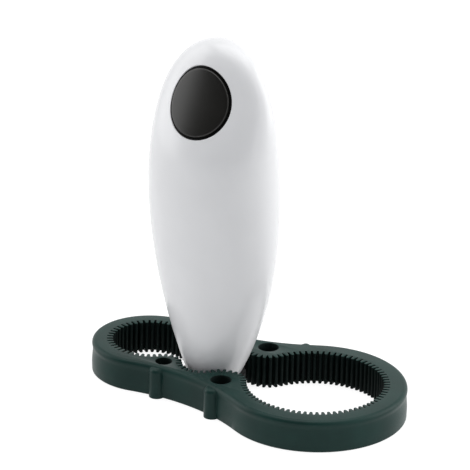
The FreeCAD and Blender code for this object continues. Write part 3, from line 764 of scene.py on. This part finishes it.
class OuterWall:
    """The ring's outer wall as a grid: columns round it and rows up it."""

    foot = 0.9 * mm
    foot_turns = np.radians((0, 30, 60))
    shoulder_turns = np.radians((0, 15, 30, 45, 60, 75, 90))
    rib_turns = np.radians((0, 30, 50, 70, 90))
    low_share = 0.27
    hollow_steps = 9
    least_rise = 0.015 * mm
    over_rib = 0.02 * mm
    rib_columns_each = 33
    rib_reach = 1.02
    rib_sides = (1.15, 1.35)
    column_step = 1.5 * mm
    column_gap = 0.5 * mm
    soft = 0.35 * mm
    large_steps = 121
    small_steps = 75

    def __init__(self, plan):
        self.plan = plan
        self.sizes = plan.sizes
        self.rows = self.profile()

    def profile(self):
        """Height of each row and how far it stands out: a foot, a hollow band and a shoulder."""
        sizes = self.sizes
        top = sizes.height
        foot = self.foot
        start = top - sizes.shoulder
        deepest = start - sizes.band
        low = self.low_share * top
        shares = np.linspace(0, 1, self.hollow_steps)
        rows = [(foot - foot * math.cos(turn), -foot + foot * math.sin(turn))
                for turn in self.foot_turns]
        rows += [(low + (deepest - low) * share,
                  sizes.hollow * (math.cos(math.pi * share) - 1) / 2) for share in shares]
        rows += [(deepest + sizes.band * share,
                  -sizes.hollow * (math.cos(math.pi * share) + 1) / 2) for share in shares[1:-1]]
        rows += [(start + sizes.shoulder * math.sin(turn), sizes.shoulder * (math.cos(turn) - 1))
                 for turn in self.shoulder_turns]
        heights, offsets = zip(*rows)
        for drop in (sizes.rib_drop, sizes.rear_rib_drop):
            rib_top = top - drop
            ends = rib_top - sizes.rib_round * (1 - np.sin(self.rib_turns))
            for height in np.append(ends, rib_top + self.over_rib):
                rows.append((height, float(np.interp(height, heights, offsets))))
        rows.sort()
        spaced = [rows[0]]
        for row in rows[1:]:
            if row[0] - spaced[-1][0] > self.least_rise:
                spaced.append(row)
        return spaced

    def rib_columns(self):
        """Where along the waist the columns stand: closer together over the ribs."""
        plan = self.plan
        touch = []
        for centre, radius in ((plan.small, self.sizes.small_outer),
                               (plan.large, self.sizes.large_outer)):
            arm = plan.waist - centre
            touch.append(centre[0] + arm[0] / np.linalg.norm(arm) * radius)
        near, far = self.rib_sides
        turns = np.radians(np.linspace(-90, 90, self.rib_columns_each))
        ribbed = []
        for along, radius in sorted({rib[:2] for rib in plan.ribs()}):
            fine = along + radius * self.rib_reach * np.sin(turns)
            ribbed.append(np.concatenate(([along - radius * far, along - radius * near], fine,
                                          [along + radius * near, along + radius * far])))
        plain = np.arange(*touch, self.column_step)
        clear = np.ones(len(plain), bool)
        for group in ribbed:
            clear &= (plain < group[0] - self.column_gap) | (plain > group[-1] + self.column_gap)
        return np.sort(np.concatenate([plain[clear]] + ribbed))

    def waist_points(self, side, height, offset):
        """One row of the waist, with the ribs that stand on that side."""
        along = self.rib_columns()
        out = self.plan.waist_wall(along) + offset
        soft = self.soft
        for place, radius, proud, top, rib_side in self.plan.ribs():
            if side != rib_side or height > top:
                continue
            rounding = self.sizes.rib_round
            rise = max(0.0, height - (top - rounding))
            lean = radius - rounding + math.sqrt(max(0.0, rounding ** 2 - rise ** 2))
            middle = self.plan.waist_wall(place) + proud - radius
            swell = np.sqrt(np.maximum(lean ** 2 - (along - place) ** 2, 0))
            near = np.abs(along - place) < lean
            rib = np.where(near, middle + swell, out - soft)
            blend = np.maximum(soft - np.abs(rib - out), 0) ** 2 / (4 * soft) * near
            out = np.maximum(rib, out) + blend
        return np.stack([along, side * out], 1)

    def row_points(self, height, offset):
        """One closed row round the wall, going round to the left from the large end."""
        plan = self.plan
        sizes = self.sizes
        large_turn = math.atan2(*(plan.waist - plan.large)[::-1])
        small_turn = math.atan2(*(plan.waist - plan.small)[::-1])
        large = arc(plan.large, sizes.large_outer + offset,
                    np.linspace(-large_turn, large_turn, self.large_steps))
        small = arc(plan.small, sizes.small_outer + offset,
                    np.linspace(small_turn, full_turn - small_turn, self.small_steps))
        rear = self.waist_points(1, height, offset)[::-1]
        front = self.waist_points(-1, height, offset)
        return np.concatenate([large, rear[1:-1], small, front[1:-1]])

    def grid(self):
        """Every row as points, from the foot up."""
        return [raised(self.row_points(*row), row[0]) for row in self.rows]


class JAROPENER_OT_ring(bpy.types.Operator):
    """Body of the grip ring: hollow outer wall, ribs, shoulder, bosses and holes"""

    bl_idname = "jar_opener.ring"
    bl_label = "Grip ring"

    def execute(self, context):
        sizes = context.scene.jar_opener_ring
        top = sizes.height
        plan = RingPlan(sizes)
        points = OuterWall(plan).grid()
        around = len(points[0])
        faces = tube_faces(len(points), around)
        total = around * len(points)

        def add_row(row, height):
            nonlocal total
            points.append(raised(row, height))
            total += len(row)
            return total - len(row)

        lids = {0.0: [(0, around)], top: [(total - around, around)]}
        inner = plan.inner_line(0.0, 1.0 * mm)
        walls = [[add_row(inner, height) for height in (0.0, top)] + [len(inner)]]
        hole_steps = 40
        edge = sizes.hole_edge
        soft = 0.3 * edge
        levels = ((0.0, edge), (soft, soft), (edge, 0.0), (top - edge, 0.0),
                  (top - soft, soft), (top, edge))
        for side in (-1, 1):
            for hole, radius in ((plan.large_hole, sizes.large_hole),
                                 (plan.small_hole, sizes.small_hole)):
                walls.append([add_row(arc(hole * np.array([1, side]), radius + grown,
                                          even_turns(hole_steps)), height)
                              for height, grown in levels] + [hole_steps])
        # Faces from here up to the lids are the inner wall and the hole walls, which get painted
        # shade
        painted_shade_from = len(faces)
        for *starts, size in walls:
            for low, high in zip(starts, starts[1:]):
                faces += ring_faces(high, low, size)
            lids[0.0].append((starts[0], size))
            lids[top].append((starts[-1], size))
        lid_start = len(faces)
        everything = np.concatenate(points)
        for height, loops in lids.items():
            faces += self.lid(everything, loops, height > 0)
        mesh = smooth_mesh("grip_ring_body", everything, faces, sharp=40)
        if len(mesh.polygons) != len(faces):
            raise RuntimeError("The grip ring has faces that don't hold")
        paint(mesh, slot_finish("grip_rubber"), slot_finish("groove_rubber"))
        # These recessed walls get the darker rubber: painted shade
        for face in mesh.polygons[painted_shade_from:lid_start]:
            face.material_index = 1
        add_piece("grip_ring_body", mesh, "ring", ["grip_ring"])
        return {"FINISHED"}

    @staticmethod
    def lid(points, loops, up):
        """Triangles that fill the first loop and leave the others open."""
        index = [start + step for start, size in loops for step in range(size)]
        outlines = [[Vector(points[start + step]) for step in range(size)]
                    for start, size in loops]
        found = []
        for triangle in tessellate_polygon(outlines):
            corners = [index[corner] for corner in triangle]
            first, second, third = points[corners]
            facing = np.cross(second - first, third - first)[2] > 0
            found.append(corners if facing == up else corners[::-1])
        return found


def tooth_mesh(sizes):
    """One tooth, pointing along +Y, centred on the middle of its depth."""
    half_depth = sizes.tooth_depth / 2
    half_root = sizes.tooth_root / 2
    crest = sizes.tooth_tip / 2
    buried = 0.35 * mm
    crown = 0.45 * mm
    flare = 0.12 * mm
    taper = 0.04 * mm
    below_top = 0.02 * mm
    side = [(half_root + flare, -half_depth - buried), (half_root, -half_depth),
            (crest + taper, half_depth - crown)]
    for turn in np.radians((30, 60, 85)):
        side.append((crest * math.cos(turn), half_depth - crown * (1 - math.sin(turn))))
    outline = np.array(side + [(-x, y) for x, y in reversed(side)])
    edge = sizes.tooth_edge
    top = sizes.height
    drawn_in = edge / half_depth * np.array([1.2, 0.5])
    middle = np.array([0.0, -half_depth])
    levels = ((0.0, 1.0), (0.3 * edge, 0.3), (edge, 0.0), (top - edge, 0.0),
              (top - 0.3 * edge, 0.3), (top - below_top, 1.0))
    rows = [raised(middle + (outline - middle) * (1 - share * drawn_in), height)
            for height, share in levels]
    return closed_tube("tooth", rows, sharp=40)


# Geometry node trees

class NodeTree:
    """A small helper that adds nodes to a tree and links them."""

    def __init__(self, tree):
        self.tree = tree

    def add(self, kind, values=None, links=None, **settings):
        """A node with set inputs, and inputs linked from other nodes' outputs."""
        node = self.tree.nodes.new(kind)
        for name, value in settings.items():
            setattr(node, name, value)
        for name, value in (values or {}).items():
            node.inputs[name].default_value = value
        for name, source in (links or {}).items():
            self.tree.links.new(source, node.inputs[name])
        return node


def geometry_tree(name, inputs):
    """A geometry node tree with a mesh in and out and named inputs of its own."""
    tree = bpy.data.node_groups.new(name, "GeometryNodeTree")
    tree.interface.new_socket("Geometry", in_out="INPUT", socket_type="NodeSocketGeometry")
    for label, kind in inputs:
        tree.interface.new_socket(label, in_out="INPUT", socket_type=kind)
    tree.interface.new_socket("Geometry", in_out="OUTPUT", socket_type="NodeSocketGeometry")
    nodes = NodeTree(tree)
    entry = nodes.add("NodeGroupInput")
    return nodes, entry.outputs


def close_tree(nodes, geometry, finish):
    """Ends a tree in real geometry with its finish set."""
    real = nodes.add("GeometryNodeRealizeInstances", links={"Geometry": geometry})
    painted = nodes.add("GeometryNodeSetMaterial", links={"Geometry": real.outputs[0]})
    painted.inputs["Material"].default_value = finish
    nodes.add("NodeGroupOutput", links={"Geometry": painted.outputs[0]})
    return nodes.tree


def grown_mesh(name, base, tree, inputs):
    """Runs a node tree on a base mesh and gives the result as a plain mesh."""
    thing = add_object(name + "_base", base)
    modifier = thing.modifiers.new("Grow", "NODES")
    modifier.node_group = tree
    for item in tree.interface.items_tree:
        if item.in_out == "INPUT" and item.name in inputs:
            modifier[item.identifier] = inputs[item.name]
    bpy.context.view_layer.update()
    seen = thing.evaluated_get(bpy.context.evaluated_depsgraph_get())
    mesh = bpy.data.meshes.new_from_object(seen)
    mesh.name = name
    bpy.data.objects.remove(thing)
    return mesh


def line_mesh(name, points, edges):
    """A mesh of points and the edges between them."""
    mesh = bpy.data.meshes.new(name)
    mesh.from_pydata([tuple(point) for point in points], edges, [])
    return mesh


def copies_tree(finish, name, along_line):
    """Places copies of an object at even steps along a line, or at every point of a mesh."""
    inputs = [("Copy", "NodeSocketObject")]
    if along_line:
        inputs.append(("Count", "NodeSocketInt"))
    nodes, entry = geometry_tree(name, inputs)
    copy = nodes.add("GeometryNodeObjectInfo", links={"Object": entry["Copy"]})
    if along_line:
        curve = nodes.add("GeometryNodeMeshToCurve", links={"Mesh": entry["Geometry"]})
        spaced = nodes.add("GeometryNodeCurveToPoints", mode="COUNT",
                           links={"Curve": curve.outputs[0], "Count": entry["Count"]})
        along = nodes.add("FunctionNodeAlignEulerToVector", axis="X", pivot_axis="Z",
                          links={"Vector": spaced.outputs["Tangent"]})
        placed = nodes.add("GeometryNodeInstanceOnPoints", links={
            "Points": spaced.outputs["Points"], "Instance": copy.outputs["Geometry"],
            "Rotation": along.outputs[0]})
    else:
        placed = nodes.add("GeometryNodeInstanceOnPoints", links={
            "Points": entry["Geometry"], "Instance": copy.outputs["Geometry"]})
    return close_tree(nodes, placed.outputs[0], finish)


class JAROPENER_OT_teeth(bpy.types.Operator):
    """Teeth of the grip ring, at even steps along its inner wall"""

    bl_idname = "jar_opener.teeth"
    bl_label = "Grip teeth"

    def execute(self, context):
        sizes = context.scene.jar_opener_ring
        plan = RingPlan(sizes)
        line = plan.inner_line(sizes.tooth_depth / 2, 0.25 * mm)
        steps = np.linalg.norm(np.roll(line, -1, 0) - line, axis=1)
        teeth = round(steps.sum() / sizes.tooth_pitch)
        first = int(np.searchsorted(np.cumsum(steps), steps.sum() / teeth / 2)) + 1
        edges = [(step, (step + 1) % len(line)) for step in range(len(line))]
        base = line_mesh("tooth_line", raised(np.roll(line, -first, 0), 0.0), edges)
        tooth = add_object("tooth_pattern", tooth_mesh(sizes))
        finish = slot_finish("grip_rubber")
        mesh = grown_mesh("grip_ring_teeth", base, copies_tree(finish, "Grip teeth", True),
                          {"Copy": tooth, "Count": teeth})
        bpy.data.objects.remove(tooth)
        paint(mesh, finish, slot_finish("groove_rubber"))
        # Tooth faces below the upper rounding get the darker rubber: painted shade down the sides
        # of the teeth
        for face in mesh.polygons:
            face.material_index = int(face.center.z < sizes.height - sizes.tooth_edge)
        add_piece("grip_ring_teeth", mesh, "ring")
        return {"FINISHED"}


def screw_mesh(sizes):
    """A screw along +Y whose domed head has a cross recess in its outer face."""
    turns = even_turns(48)
    head = sizes.screw_head
    rise = sizes.screw_head_height
    shank = sizes.screw_shank
    arm_width, arm_slope = 0.2, 0.08
    arm_reach, end_slope = 0.66, 0.12
    droop, droop_power = 0.45, 2.5
    recess_depth = 0.55
    point_start = 0.85
    point_size = 0.2
    rows = []
    for radius in np.linspace(0.06, 1, 12) * head:
        across = np.abs(arc(0.0, radius, turns)) / head
        recess = (np.clip((arm_width - across.min(1)) / arm_slope, 0, 1)
                  * np.clip((arm_reach - across.max(1)) / end_slope, 0, 1))
        dome = rise * (1 - droop * (radius / head) ** droop_power)
        rows.append((radius, dome - recess_depth * rise * recess))
    for radius, level in ((head, 0.0), (shank, 0.0), (shank, -point_start * sizes.screw_length),
                          (point_size * shank, -sizes.screw_length)):
        rows.append((radius, np.full(len(turns), level)))
    rows = [np.stack([radius * np.cos(turns), level, radius * np.sin(turns)], 1)
            for radius, level in rows]
    return closed_tube("screw", rows, sharp=35)


class JAROPENER_OT_screws(bpy.types.Operator):
    """Cross-head screws that hold the rear shell"""

    bl_idname = "jar_opener.screws"
    bl_label = "Shell screws"

    def execute(self, context):
        sizes = context.scene.jar_opener_unit
        place = UnitPlace(sizes)
        spots = [(side, sizes.screw_seat, height) for side, height in screw_spots(sizes)]
        base = line_mesh("screw_spots", spots, [])
        pattern = add_object("screw_pattern", screw_mesh(sizes))
        tree = copies_tree(slot_finish("steel"), "Screws", False)
        mesh = grown_mesh("shell_screw_set", base, tree, {"Copy": pattern})
        bpy.data.objects.remove(pattern)
        turned = Matrix([list(row) for row in place.turn]).to_4x4()
        mesh.transform(Matrix.Translation(place.move) @ turned)
        add_piece("shell_screw_set", mesh, "unit", ["shell_screws"])
        return {"FINISHED"}


def bars_tree(finish):
    """Turns lines into round bars whose ends run out."""
    nodes, entry = geometry_tree("Grip bars", [("Thickness", "NodeSocketFloat")])
    curve = nodes.add("GeometryNodeMeshToCurve", links={"Mesh": entry["Geometry"]})
    share = nodes.add("GeometryNodeSplineParameter")
    centred = nodes.add("ShaderNodeMath", operation="SUBTRACT", links={0: share.outputs["Factor"]})
    centred.inputs[1].default_value = 0.5
    far = nodes.add("ShaderNodeMath", operation="ABSOLUTE", links={0: centred.outputs[0]})
    ends = nodes.add("ShaderNodeMapRange", links={"Value": far.outputs[0]},
                     values={"From Min": 0.5, "From Max": 0.45, "To Min": 0.0, "To Max": 1.0},
                     interpolation_type="SMOOTHERSTEP")
    ring = nodes.add("GeometryNodeCurvePrimitiveCircle", values={"Resolution": 16},
                     links={"Radius": entry["Thickness"]})
    bars = nodes.add("GeometryNodeCurveToMesh", values={"Fill Caps": True}, links={
        "Curve": curve.outputs[0], "Profile Curve": ring.outputs["Curve"],
        "Scale": ends.outputs["Result"]})
    smooth = nodes.add("GeometryNodeSetShadeSmooth", links={"Geometry": bars.outputs[0]})
    return close_tree(nodes, smooth.outputs[0], finish)


class JAROPENER_OT_cover_grips(bpy.types.Operator):
    """Raised grip bars across the battery cover"""

    bl_idname = "jar_opener.cover_grips"
    bl_label = "Cover grips"

    def execute(self, context):
        sizes = context.scene.jar_opener_unit
        skin = Skin(sizes)
        points = []
        edges = []
        steps = 41
        below_edge = 1.8
        along = np.linspace(-sizes.grip_length / 2, sizes.grip_length / 2, steps)
        for bar in range(sizes.grip_count):
            height = sizes.cover_high - sizes.grip_pitch * (bar + below_edge)
            start = np.stack([along, np.zeros(steps), np.full(steps, height)], 1)
            first = len(points)
            points += list(skin.reach(start, backward, 0.0, 50 * mm))
            edges += [(first + step, first + step + 1) for step in range(steps - 1)]
        base = line_mesh("grip_lines", UnitPlace(sizes).points(points), edges)
        mesh = grown_mesh("battery_cover_grips", base, bars_tree(slot_finish("white_plastic")),
                          {"Thickness": sizes.grip_proud})
        add_piece("battery_cover_grips", mesh, "cover")
        return {"FINISHED"}


# Finishes

def finish_base(name):
    """An empty finish with its shader, and the helper that adds nodes to it."""
    title = name + "_finish"
    found = bpy.data.materials.get(title)
    if found:
        return found, None, None
    finish = bpy.data.materials.new(title)
    finish.use_nodes = True
    nodes = NodeTree(finish.node_tree)
    shader = finish.node_tree.nodes["Principled BSDF"]
    return finish, nodes, shader


def noise(nodes, scale, detail=3.0, stretch=(1, 1, 1)):
    """Noise on the object's own coordinates, at a scale in repeats per metre."""
    place = nodes.add("ShaderNodeTexCoord")
    mapped = nodes.add("ShaderNodeMapping", links={"Vector": place.outputs["Object"]},
                       values={"Scale": stretch})
    return nodes.add("ShaderNodeTexNoise", values={"Scale": scale, "Detail": detail},
                     links={"Vector": mapped.outputs[0]}).outputs["Fac"]


def spread(nodes, source, low, high):
    """Maps noise from its usual range to a low and a high value."""
    return nodes.add("ShaderNodeMapRange", links={"Value": source}, values={
        "From Min": 0.3, "From Max": 0.7, "To Min": low, "To Max": high}).outputs[0]


def tint(nodes, source, dark, light):
    """Runs from a dark to a light colour with a value."""
    ramp = nodes.add("ShaderNodeValToRGB", links={"Fac": source})
    ramp.color_ramp.elements[0].position = 0.3
    ramp.color_ramp.elements[0].color = (*dark, 1)
    ramp.color_ramp.elements[1].position = 0.7
    ramp.color_ramp.elements[1].color = (*light, 1)
    return ramp.outputs["Color"]


def bump(nodes, source, distance, strength):
    return nodes.add("ShaderNodeBump", links={"Height": source}, values={
        "Distance": distance, "Strength": strength}).outputs["Normal"]


def moulded(name, base, low_gloss, high_gloss, vary=0.06, grain=900, depth=0.02,
            metal=0.0, coat=0.0, shine=0.5, stretch=(1, 1, 1)):
    """A moulded or machined finish: slight colour change, uneven gloss and fine grain."""
    finish, nodes, shader = finish_base(name)
    if nodes is None:
        return finish
    link = nodes.tree.links.new
    dark = [value * (1 - vary) for value in base]
    light = [min(1.0, value * (1 + vary)) for value in base]
    broad = noise(nodes, 60, 2.0)
    fine = noise(nodes, grain, 4.0, stretch)
    link(tint(nodes, broad, dark, light), shader.inputs["Base Color"])
    link(spread(nodes, fine, low_gloss, high_gloss), shader.inputs["Roughness"])
    link(bump(nodes, fine, depth * mm, 0.6), shader.inputs["Normal"])
    shader.inputs["Metallic"].default_value = metal
    shader.inputs["Specular IOR Level"].default_value = shine
    shader.inputs["Coat Weight"].default_value = coat
    shader.inputs["Coat Roughness"].default_value = 0.06
    return finish


# For each finish its colour, or the name of the colour's setting, its least and most
# roughness, and what else sets it apart. All but the last two are the record's slots.
finishes = {
    "white_plastic": ("white", 0.2, 0.26, {"vary": 0.012, "grain": 220, "depth": 0.004}),
    "button_plastic": (
        "button", 0.3, 0.38, {"vary": 0.1, "grain": 2600, "depth": 0.015, "shine": 0.4}),
    "liner_plastic": (
        "liner", 0.4, 0.5, {"vary": 0.1, "grain": 1800, "depth": 0.01, "shine": 0.08}),
    "grip_rubber": (
        "rubber", 0.32, 0.42, {"vary": 0.14, "grain": 1500, "depth": 0.03, "shine": 0.16}),
    "steel": (
        (0.56, 0.57, 0.58), 0.2, 0.38,
        {"vary": 0.05, "grain": 700, "depth": 0.006, "metal": 1.0}),
    "circuit_laminate": (
        (0.012, 0.09, 0.035), 0.22, 0.34, {"vary": 0.15, "grain": 1200, "coat": 0.4}),
    "switch_plastic": ((0.02, 0.02, 0.022), 0.4, 0.5, {}),
    "plate_plastic": ((0.11, 0.115, 0.12), 0.45, 0.6, {}),
    "gear_plastic": ((0.72, 0.7, 0.62), 0.32, 0.42, {}),
    "hub_rubber": ((0.012, 0.013, 0.013), 0.55, 0.7, {"depth": 0.05}),
    "brass": ((0.62, 0.42, 0.13), 0.22, 0.36, {"vary": 0.08, "metal": 1.0, "depth": 0.008}),
    "motor_steel": (
        (0.5, 0.51, 0.52), 0.26, 0.42,
        {"metal": 1.0, "grain": 500, "stretch": (1, 1, 12), "depth": 0.006}),
    "cell_wrap": ((0.03, 0.08, 0.24), 0.22, 0.3, {"coat": 0.5}),
    "tray_plastic": ((0.02, 0.02, 0.022), 0.48, 0.6, {}),
    "spring_steel": ((0.66, 0.66, 0.67), 0.18, 0.3, {"metal": 1.0, "depth": 0.005}),
    "red_sleeve": ((0.32, 0.012, 0.01), 0.4, 0.5, {}),
    "black_sleeve": ((0.01, 0.01, 0.01), 0.4, 0.5, {}),
    # Darker, duller rubber for the teeth's sides, the inner wall and the holes: painted shade
    "groove_rubber": (
        "groove", 0.5, 0.62, {"vary": 0.14, "grain": 1500, "depth": 0.03, "shine": 0.08}),
    # Finish of the dark card, which only shows in reflections: painted dark reflection
    "dark_cloth": ((0.02, 0.02, 0.02), 0.8, 0.9, {}),
}


def slot_finish(name):
    """A finish by its name in the table, made when it is first asked for."""
    base, low_gloss, high_gloss, others = finishes[name]
    if isinstance(base, str):
        base = getattr(bpy.context.scene.jar_opener_colours, base)
    return moulded(name, base, low_gloss, high_gloss, **others)


class JAROPENER_OT_finishes(bpy.types.Operator):
    """Finishes of the CAD nodes, such as the working parts inside the shells"""

    bl_idname = "jar_opener.finishes"
    bl_label = "Inner finishes"

    def execute(self, context):
        for part in frame["record"]["subparts"]:
            node = frame["nodes"][part["node"]]
            finish = slot_finish(part["material_slot"])
            if not node.material_slots:
                node.data.materials.append(finish)
            for place in node.material_slots:
                place.material = finish
        return {"FINISHED"}


# Stage

def view_axes(levels):
    """The camera's right, up and backward directions."""
    turn = levels.azimuth
    rise = levels.elevation
    back = Vector((math.sin(turn) * math.cos(rise), -math.cos(turn) * math.cos(rise),
                   math.sin(rise)))
    right = Vector((math.cos(turn), math.sin(turn), 0))
    up = back.cross(right)
    roll = levels.roll
    return (right * math.cos(roll) + up * math.sin(roll),
            up * math.cos(roll) - right * math.sin(roll), back)


def add_camera(levels):
    right, up, back = view_axes(levels)
    data = bpy.data.cameras.new("view")
    data.sensor_width = 36.0
    data.lens = levels.lens
    data.clip_start = 0.1
    data.clip_end = 50.0
    camera = add_object("view", data)
    camera.matrix_world = Matrix((right, up, back)).transposed().to_4x4()
    camera.location = Vector(levels.target) + back * levels.distance
    bpy.context.scene.camera = camera


def add_soft_light(name, towards, distance, size, level, target):
    """A large soft light that faces the object, with an even brightness."""
    data = bpy.data.lights.new(name, "AREA")
    data.shape = "RECTANGLE"
    data.size, data.size_y = size
    data.energy = level * math.pi * size[0] * size[1]
    lamp = add_object(name, data)
    direction = towards.normalized()
    lamp.location = target + direction * distance
    lamp.rotation_mode = "QUATERNION"
    lamp.rotation_quaternion = direction.to_track_quat("Z", "Y")
    lamp.visible_camera = False


def seen_rays(nodes):
    """1 for rays that see the background itself or its reflection."""
    path = nodes.add("ShaderNodeLightPath")
    both = nodes.add("ShaderNodeMath", operation="MAXIMUM", links={
        0: path.outputs["Is Camera Ray"], 1: path.outputs["Is Glossy Ray"]})
    return nodes.add("ShaderNodeMath", operation="MAXIMUM", links={
        0: both.outputs[0], 1: path.outputs["Is Transmission Ray"]}).outputs[0]


def light_world(levels):
    world = bpy.data.worlds.new("surround")
    world.use_nodes = True
    nodes = NodeTree(world.node_tree)
    world.node_tree.nodes.clear()
    soft = nodes.add("ShaderNodeBackground", values={
        "Color": (0.94, 0.96, 1.0, 1), "Strength": levels.world})
    white = nodes.add("ShaderNodeBackground", values={"Color": (1, 1, 1, 1), "Strength": 1.0})
    mixed = nodes.add("ShaderNodeMixShader", links={
        0: seen_rays(nodes), 1: soft.outputs[0], 2: white.outputs[0]})
    nodes.add("ShaderNodeOutputWorld", links={"Surface": mixed.outputs[0]})
    bpy.context.scene.world = world


def white_floor():
    """Paper that the camera and reflections see as white, with a light shadow."""
    finish, nodes, shader = finish_base("white_paper")
    if nodes is None:
        return finish
    tree = finish.node_tree
    tree.nodes.remove(shader)
    paper = nodes.add("ShaderNodeBsdfDiffuse", values={"Color": (0.9, 0.9, 0.9, 1)})
    shade = nodes.add("ShaderNodeBsdfDiffuse", values={"Color": (0.3, 0.3, 0.3, 1)})
    glow = nodes.add("ShaderNodeEmission", values={"Color": (1, 1, 1, 1), "Strength": 0.86})
    seen = nodes.add("ShaderNodeAddShader", links={0: shade.outputs[0], 1: glow.outputs[0]})
    mixed = nodes.add("ShaderNodeMixShader", links={
        0: seen_rays(nodes), 1: paper.outputs[0], 2: seen.outputs[0]})
    tree.links.new(mixed.outputs[0], tree.nodes["Material Output"].inputs["Surface"])
    return finish


def add_sheet(name, corners, finish):
    """A flat four-cornered piece of the stage."""
    mesh = bpy.data.meshes.new(name)
    mesh.from_pydata([tuple(corner) for corner in corners], [], [(0, 1, 2, 3)])
    paint(mesh, finish)
    thing = add_object(name, mesh)
    return thing


def add_card(levels):
    """A dark card beside the camera, which only gloss surfaces show, by reflection: a painted dark
    reflection that blocks no light and casts no shadow.
    """
    right, up, back = view_axes(levels)
    turn = Matrix.Rotation(-levels.card_turn, 3, up)
    middle = Vector(levels.target) + turn @ back * levels.card_away
    wide = turn @ right * levels.card[0] / 2
    high = up * levels.card[1] / 2
    corners = [middle + wide * across + high * rise for across, rise in square]
    card = add_sheet("dark_card", corners, slot_finish("dark_cloth"))
    card.visible_camera = False
    card.visible_diffuse = False
    card.visible_shadow = False


class JAROPENER_OT_stage(bpy.types.Operator):
    """White floor, soft lights and the camera"""

    bl_idname = "jar_opener.stage"
    bl_label = "Stage"

    def execute(self, context):
        levels = context.scene.jar_opener_stage
        half = 3.0
        level = -0.05 * mm
        corners = [(half * across, half * rise, level) for across, rise in square]
        add_sheet("floor", corners, white_floor())
        add_camera(levels)
        add_card(levels)
        right, up, back = view_axes(levels)
        right.z = 0
        front = Vector((back.x, back.y, 0)).normalized()
        high = Vector((0, 0, 1))
        for name, towards, distance, size, brightness in (
                ("right_light", right - 0.06 * front + 0.25 * high, 0.9, (0.8, 1.0), levels.right),
                ("left_light", -right - 0.3 * front + 0.3 * high, 1.1, (0.8, 1.0), levels.left),
                ("top_light", high - 0.1 * front, 1.2, (1.4, 1.0), levels.top)):
            add_soft_light(name, towards, distance, size, brightness, Vector(levels.target))
        light_world(levels)
        context.scene.view_settings.view_transform = "Standard"
        return {"FINISHED"}


class JAROPENER_PT_panel(bpy.types.Panel):
    """Lists the pieces and their sizes"""

    bl_label = "Jar opener"
    bl_idname = "JAROPENER_PT_panel"
    bl_space_type = "VIEW_3D"
    bl_region_type = "UI"
    bl_category = "Jar opener"

    def draw(self, context):
        layout = self.layout
        for maker in operators:
            layout.operator(maker.bl_idname)
        for name, kind in groups.items():
            box = layout.box()
            group = getattr(context.scene, name)
            for field in kind.__annotations__:
                box.prop(group, field)


groups = {
    "jar_opener_unit": UnitSizes,
    "jar_opener_button": ButtonSizes,
    "jar_opener_ring": RingSizes,
    "jar_opener_colours": FinishColours,
    "jar_opener_stage": StageLevels,
}

operators = (
    JAROPENER_OT_finishes,
    JAROPENER_OT_shells,
    JAROPENER_OT_cover_grips,
    JAROPENER_OT_screws,
    JAROPENER_OT_button,
    JAROPENER_OT_ring,
    JAROPENER_OT_teeth,
    JAROPENER_OT_stage,
)


def register():
    for name, kind in groups.items():
        bpy.utils.register_class(kind)
        setattr(bpy.types.Scene, name, PointerProperty(type=kind))
    for kind in operators + (JAROPENER_PT_panel,):
        bpy.utils.register_class(kind)


def unregister():
    for kind in reversed(operators + (JAROPENER_PT_panel,)):
        bpy.utils.unregister_class(kind)
    for name, kind in groups.items():
        delattr(bpy.types.Scene, name)
        bpy.utils.unregister_class(kind)


def main():
    """Builds everything."""
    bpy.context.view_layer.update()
    register()
    bpy.ops.jar_opener.finishes()
    bpy.ops.jar_opener.shells()
    bpy.ops.jar_opener.cover_grips()
    bpy.ops.jar_opener.screws()
    bpy.ops.jar_opener.button()
    bpy.ops.jar_opener.ring()
    bpy.ops.jar_opener.teeth()
    bpy.ops.jar_opener.stage()


if __name__ == "__main__":
    main()
